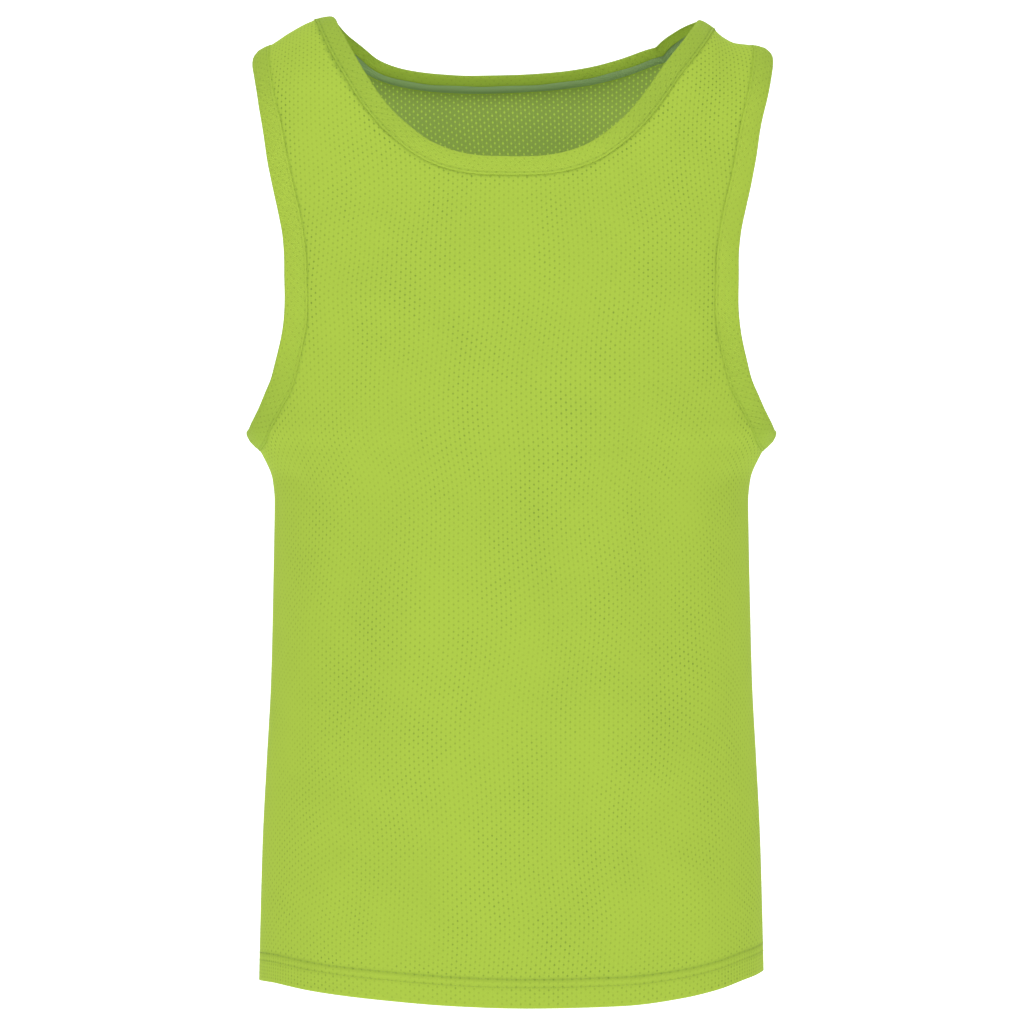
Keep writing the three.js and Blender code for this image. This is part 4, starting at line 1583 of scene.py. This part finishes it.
@dataclass
class StitchRow:
    """A row of thread stitches that lie along a line.

    Attributes:
        name: the piece's name.
        line: the line.
        aside: how far the row lies from the line, on the cloth's side.
        lift: how far its middle lies over the cloth.
        pitch: length of a stitch and the gap after it.
        length: length of a stitch.
        thickness: thickness of the thread as it lies, made a little coarse so that it shows.
        rings: a stitch's sections: place along it and size, as shares, and how far it sinks there.
        sides: number of sides of the thread.
    """

    name: str
    line: SewnLine
    aside: float = 0.0
    lift: float = 0.1
    pitch: float = 2.9
    length: float = 2.2
    thickness: float = 0.42
    rings: Table = Table(
        ("place", "size", "sink"),
        ((-0.5, 0.35, -0.22), (-0.3, 0.9, -0.02), (0.0, 1.0, 0.0), (0.3, 0.9, -0.02), (0.5, 0.35, -0.22)),
    )
    sides: int = 5

    def build(self, finish: bpy.types.Material) -> bpy.types.Object:
        """Build the row.

        Args:
            finish: its material.

        Returns:
            The row's object.
        """
        line = self.line
        count = int(line.length / self.pitch)
        at = np.linspace(0, len(line.points) - (0 if line.closed else 1), count, endpoint=False)
        low = at.astype(int)
        share = (at - low)[:, None]
        high = (low + 1) % len(line.points) if line.closed else np.minimum(low + 1, len(line.points) - 1)
        grids = (line.points, line.along, line.away, line.normals)
        centre, along, away, normal = (grid[low] * (1 - share) + grid[high] * share for grid in grids)
        centre = centre - away * self.aside + normal * self.lift
        rings, sides = self.rings.rows, self.sides
        angle = 2 * math.pi * np.arange(sides) / sides
        points = np.stack([
            centre[:, None, :] + along[:, None, :] * (place * self.length)
            + away[:, None, :] * (np.cos(angle) * size * self.thickness / 2)[None, :, None]
            + normal[:, None, :] * ((np.sin(angle) * size * 0.7 * self.thickness / 2) + sink)[None, :, None]
            for place, size, sink in rings
        ], axis=1)
        parts = MeshParts()
        number = parts.add_points(points.reshape(-1, 3), np.zeros((points.size // 3, 2)))
        number = number.reshape(count, len(rings), sides)
        around = np.roll(number, -1, axis=2)
        walls = np.stack([number[:, :-1], number[:, 1:], around[:, 1:], around[:, :-1]], axis=-1)
        parts.faces += walls.reshape(-1, 4).tolist() + number[:, 0].tolist() + number[:, -1, ::-1].tolist()
        return parts.build(self.name, finish)


@dataclass
class SeamAllowance:
    """The overlocked edge inside a seam between the two panels, pressed towards the back.

    Attributes:
        name: the piece's name.
        line: the seam.
        width: width of the edge.
        thickness: its thickness.
        start: how far from the seam it begins, on the side away from the cloth.
        under: how far it lies in from the cloth's face.
    """

    name: str
    line: SewnLine
    width: float = 7.0
    thickness: float = 1.1
    start: float = 0.2
    under: float = 1.0

    def build(self, finish: bpy.types.Material) -> bpy.types.Object:
        """Build the edge as a flat strip with rounded corners that waves a little.

        Args:
            finish: its material.

        Returns:
            The strip's object.
        """
        line = self.line
        outline = np.array([
            (0.0, 0.0), (self.width * 0.5, 0.0), (self.width - 0.5, 0.0),
            (self.width, -self.thickness / 2), (self.width - 0.5, -self.thickness),
            (self.width * 0.5, -0.1 - self.thickness), (0.0, -self.thickness),
        ]) + np.array([self.start, -self.under])
        wave = 0.25 * np.sin(line.distance / 6.5) + 0.2 * np.sin(line.distance / 17.0)
        out = outline[None, :, 0] + wave[:, None] * (outline[None, :, 0] > 1)
        points = (
            line.points[:, None, :] + line.away[:, None, :] * out[..., None]
            + line.normals[:, None, :] * (outline[None, :, 1] + 0.3 * wave[:, None])[..., None]
        )
        around = np.concatenate([[0.0], np.cumsum(np.linalg.norm(np.diff(outline, axis=0), axis=1))])
        flat = np.stack(np.broadcast_arrays(line.distance[:, None], around[None, :]), axis=-1)
        if line.closed:
            points = np.concatenate([points, points[:1]])
            flat = np.concatenate([flat, flat[:1] + [line.length, 0.0]])
        parts = MeshParts()
        number = parts.add_points(points.reshape(-1, 3), flat.reshape(-1, 2))
        number = number.reshape(len(points), len(outline))
        after = np.roll(number, -1, axis=1)
        faces = np.stack([number[:-1], after[:-1], after[1:], number[1:]], axis=-1).reshape(-1, 4)
        parts.faces += faces.tolist()
        if not line.closed:
            parts.faces += [number[0, ::-1].tolist(), number[-1].tolist()]
        return parts.build(self.name, finish)


@dataclass
class Bib:
    """The whole bib: two panels, three bindings and the sewing that holds them.

    Attributes:
        neck_width: width of the neck binding.
        armhole_width: width of the armhole bindings.
        hem_rows: heights of the two rows of hem stitches over the hem's edge.
        neck_lean: how far the neck binding turns towards the body, in degrees, by height.
        armhole_lean: the same for the armhole bindings.
        neck_droop: how far the neck binding's folded edge hangs down, by height.
        armhole_droop: the same for the armhole bindings.
        neck_slope_shade: painted shade of the neck binding where it slopes away from the light, by height.
        armhole_slope_shade: the same for the armhole bindings.
    """

    neck_width: float = 13.0
    armhole_width: float = 16.0
    hem_rows: tuple[float, float] = (14.4, 20.4)
    neck_lean: Table = Table(("z", "lean"), ((-120, 0), (-25, 0), (-5, 5), (6, 11), (16, 14)))
    armhole_lean: Table = Table(
        ("z", "lean"),
        (
            (-311, -12), (-300, -13), (-285, -16), (-262, -24), (-240, -21), (-219, -18), (-184, -12),
            (-161, -3), (-146, 3), (-132, 4), (-95, 6), (-72, 12), (-30, 5), (-12, 0), (0, -1),
        ),
    )
    neck_droop: Table = Table(("z", "droop"), ((-114, 0), (-20, 0), (2, 0.2), (14, 0.4)))
    armhole_droop: Table = Table(
        ("z", "droop"),
        ((-311, 2.8), (-298, 2.0), (-280, 0.7), (-250, 0), (-100, 0), (-60, 1.2), (-25, 3.8), (0, 4.4)),
    )
    neck_slope_shade: Table = Table(
        ("z", "slope_shade"),
        ((-114, 0), (-101, 0.03), (-80, 0.17), (-48, 0.27), (-19, 0.31), (3, 0.34), (14, 0.37)),
    )
    armhole_slope_shade: Table = Table(
        ("z", "slope_shade"),
        (
            (-311, 0.28), (-298, 0.3), (-285, 0.23), (-260, 0.15), (-235, 0.07), (-200, 0), (-75, 0),
            (-49, 0.1), (-34, 0.18), (-10, 0.23),
        ),
    )

    def __post_init__(self) -> None:
        """Lay out the flat cloth of both panels and make the finishes."""
        form = WornForm()
        self.flat = {side: FlatCloth(form, side) for side in Side}
        self.mesh_cloth = KnitFinish("knitted_polyester_eyelet_mesh").build()
        self.binding_cloth = KnitFinish(
            "folded_polyester_knit_strip", colour="#acc949", eyelet=0.0, dot=0.34, rib=0.12
        ).build()
        self.overlock = KnitFinish(
            "overlocked_knit_edge", colour="#96b679", shade="#7e9f72", eyelet=0.0, rib=0.25
        ).build()
        self.thread = ThreadFinish().build()

    def ride(self, piece: bpy.types.Object, slot: str, *nodes: str) -> bpy.types.Object:
        """Fix a piece to the bib and log it.

        Args:
            piece: the piece.
            slot: a material slot, not used.
            nodes: the solids that it stands for.

        Returns:
            The same piece.
        """
        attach(piece, "root")
        if nodes:
            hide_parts(*nodes)
        LOG.info("%s: %d faces", piece.name, len(piece.data.polygons))
        return piece

    def build_panels(self) -> None:
        """Build both panels with their eyelets and hems."""
        for side, seed in ((Side.FRONT, 7), (Side.BACK, 11)):
            panel = Panel(self.flat[side], hem_rows=self.hem_rows, seed=seed)
            piece = self.ride(panel.build(self.mesh_cloth), "mesh_cloth", side.label)
            LOG.info("%s: %d eyelets", piece.name, panel.eyelets)

    def build_bindings(self) -> None:
        """Build the neck and armhole bindings with the stitches that hold them."""
        front, back = self.flat[Side.FRONT], self.flat[Side.BACK]
        neck = neck_seam(front, back)
        tables = (self.neck_lean, self.neck_slope_shade, self.neck_droop)
        strips = [(Binding("neck_strip", neck, self.neck_width, *tables), neck, "neck_binding")]
        tables = (self.armhole_lean, self.armhole_slope_shade, self.armhole_droop)
        for hand in Hand:
            seam = armhole_seam(front, back, hand)
            strip = Binding(
                f"armhole_strip_{hand.label}", seam, self.armhole_width, *tables,
                rib=0.7, pull=0.3, seed=5 + hand.value,
            )
            strips.append((strip, seam, f"armhole_binding_{hand.label}"))
        overlock = SeamAllowance("neck_overlock", neck, width=5.6, start=-1.0, under=1.25)
        self.ride(overlock.build(self.overlock), "binding_cloth")
        for strip, seam, node in strips:
            piece = self.ride(strip.build(self.binding_cloth), "binding_cloth", node)
            self.ride(StitchRow(f"{node}_stitches", seam, aside=2.3).build(self.thread), "binding_cloth")

    def hem_line(self, side: Side, level: float) -> SewnLine:
        """Follow a row of stitches along a panel's hem.

        Args:
            side: the panel.
            level: the row's height over the hem's edge.

        Returns:
            The row's line, from near one side seam to near the other.
        """
        cloth = self.flat[side]
        s = np.linspace(-cloth.half_width + 1.5, cloth.half_width - 1.5, 240)
        t = np.full(len(s), level)
        return SewnLine(cloth.lay(s, t), cloth.read(cloth.normals, s, t), closed=False, passes=1)

    def build_hem_stitches(self) -> None:
        """Build the two rows of stitches round the hem of each panel."""
        for side in Side:
            for level, name in zip(self.hem_rows, ("lower", "upper")):
                row = StitchRow(f"{side.label}_hem_stitches_{name}", self.hem_line(side, level), pitch=3.1)
                self.ride(row.build(self.thread), "mesh_cloth")

    def build_seams(self) -> None:
        """Build the overlocked edges inside the two side seams."""
        form, back = self.flat[Side.BACK].form, self.flat[Side.BACK]
        for hand in Hand:
            top = form.underarm_z - float(form.hem_level(Side.BACK, 90.0 * hand.value)) - 2.0
            t = np.linspace(23.0, top, 120)
            s = np.full(len(t), hand.value * (back.half_width - 0.3))
            points, normals = back.lay(s, t), back.read(back.normals, s, t)
            if hand is Hand.RIGHT:
                points, normals = points[::-1], normals[::-1]
            line = SewnLine(points, normals, closed=False, passes=2)
            self.ride(SeamAllowance(f"side_seam_{hand.label}", line).build(self.overlock), "mesh_cloth")

    def build(self) -> None:
        """Build every piece in order."""
        self.build_panels()
        self.build_bindings()
        self.build_hem_stitches()
        self.build_seams()


@dataclass
class Studio:
    """Seamless white paper, soft lights and the camera.

    Attributes:
        floor_z: height of the floor, in metres.
        wall_y: distance of the paper behind the bib, in metres.
        camera_distance: distance of the camera in front of the bib's centre, in metres.
        camera_x: place of the camera across, in metres, which puts the bib where the photograph has it.
        camera_z: height of the camera, in metres.
        frame_width: width that the photograph shows at the bib's centre, in metres.
    """

    floor_z: float = -0.95
    wall_y: float = 4.0
    camera_distance: float = 2.5
    camera_x: float = 0.0004
    camera_z: float = -0.35775
    frame_width: float = 0.768

    def build_paper(self) -> None:
        """Build the floor that bends up into the wall."""
        radius, half = 1.2, 9.0
        profile = [(-6.0, self.floor_z), (self.wall_y - radius, self.floor_z)]
        for step in range(1, 17):
            turn = math.pi / 2 * step / 16
            y = self.wall_y - radius + radius * math.sin(turn)
            profile.append((y, self.floor_z + radius - radius * math.cos(turn)))
        profile.append((self.wall_y, 8.0))
        points = [(x, y, z) for y, z in profile for x in (-half, half)]
        faces = [(2 * i, 2 * i + 1, 2 * i + 3, 2 * i + 2) for i in range(len(profile) - 1)]
        mesh = bpy.data.meshes.new("studio_paper")
        mesh.from_pydata(points, [], faces)
        mesh.shade_smooth()
        mesh.materials.append(StudioFinish().build())
        paper = add_object("studio_paper", mesh)
        paper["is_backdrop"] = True

    def add_light(self, name: str, place: Place, aim: Place, size: float, power: float) -> None:
        """Add a soft square light.

        Args:
            name: its name.
            place: where it stands, in metres.
            aim: the point that it faces, in metres.
            size: its side, in metres.
            power: its power, in watts.
        """
        light = bpy.data.lights.new(name, "AREA")
        light.size = size
        light.energy = power
        lamp = add_object(name, light)
        lamp.location = place
        way = Vector(aim) - Vector(place)
        lamp.rotation_euler = way.to_track_quat("-Z", "Y").to_euler()

    def build_lights(self) -> None:
        """Add the high front light, the overhead light and the surrounding light."""
        middle = (0.0, 0.0, -0.36)
        self.add_light("front", (0.0, -2.4, 2.2), middle, 2.0, 34.0)
        self.add_light("overhead", (-0.15, -0.9, 2.0), middle, 2.0, 18.0)
        world = bpy.data.worlds.new("studio_air")
        world.use_nodes = True
        background = world.node_tree.nodes["Background"]
        background.inputs["Color"].default_value = (1.0, 1.0, 1.0, 1.0)
        background.inputs["Strength"].default_value = 0.42
        bpy.context.scene.world = world

    def build_camera(self) -> None:
        """Add the camera at the photograph's distance, level and straight in front."""
        lens = bpy.data.cameras.new("camera")
        lens.sensor_width = 36.0
        lens.lens = 36.0 * self.camera_distance / self.frame_width
        lens.clip_end = 50.0
        camera = add_object("camera", lens)
        camera.location = (self.camera_x, -self.camera_distance, self.camera_z)
        camera.rotation_euler = (math.pi / 2, 0.0, 0.0)
        bpy.context.scene.camera = camera

    def build(self) -> None:
        """Build the studio."""
        self.build_camera()
        self.build_paper()
        self.build_lights()
        bpy.context.scene.view_settings.view_transform = "Standard"


def write_sizes() -> None:
    """Work out the box of the solids and the box of the dressed bib, without writing them."""
    boxes = {"cad": CAD_BOX, "visual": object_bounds()}
    plain = {name: [[float(v) for v in corner] for corner in box] for name, box in boxes.items()}


def main() -> None:
    """Build the studio and the bib."""
    logging.basicConfig(level=logging.INFO, format="%(message)s")
    Studio().build()
    Bib().build()
    write_sizes()


if __name__ == "__main__":
    main()
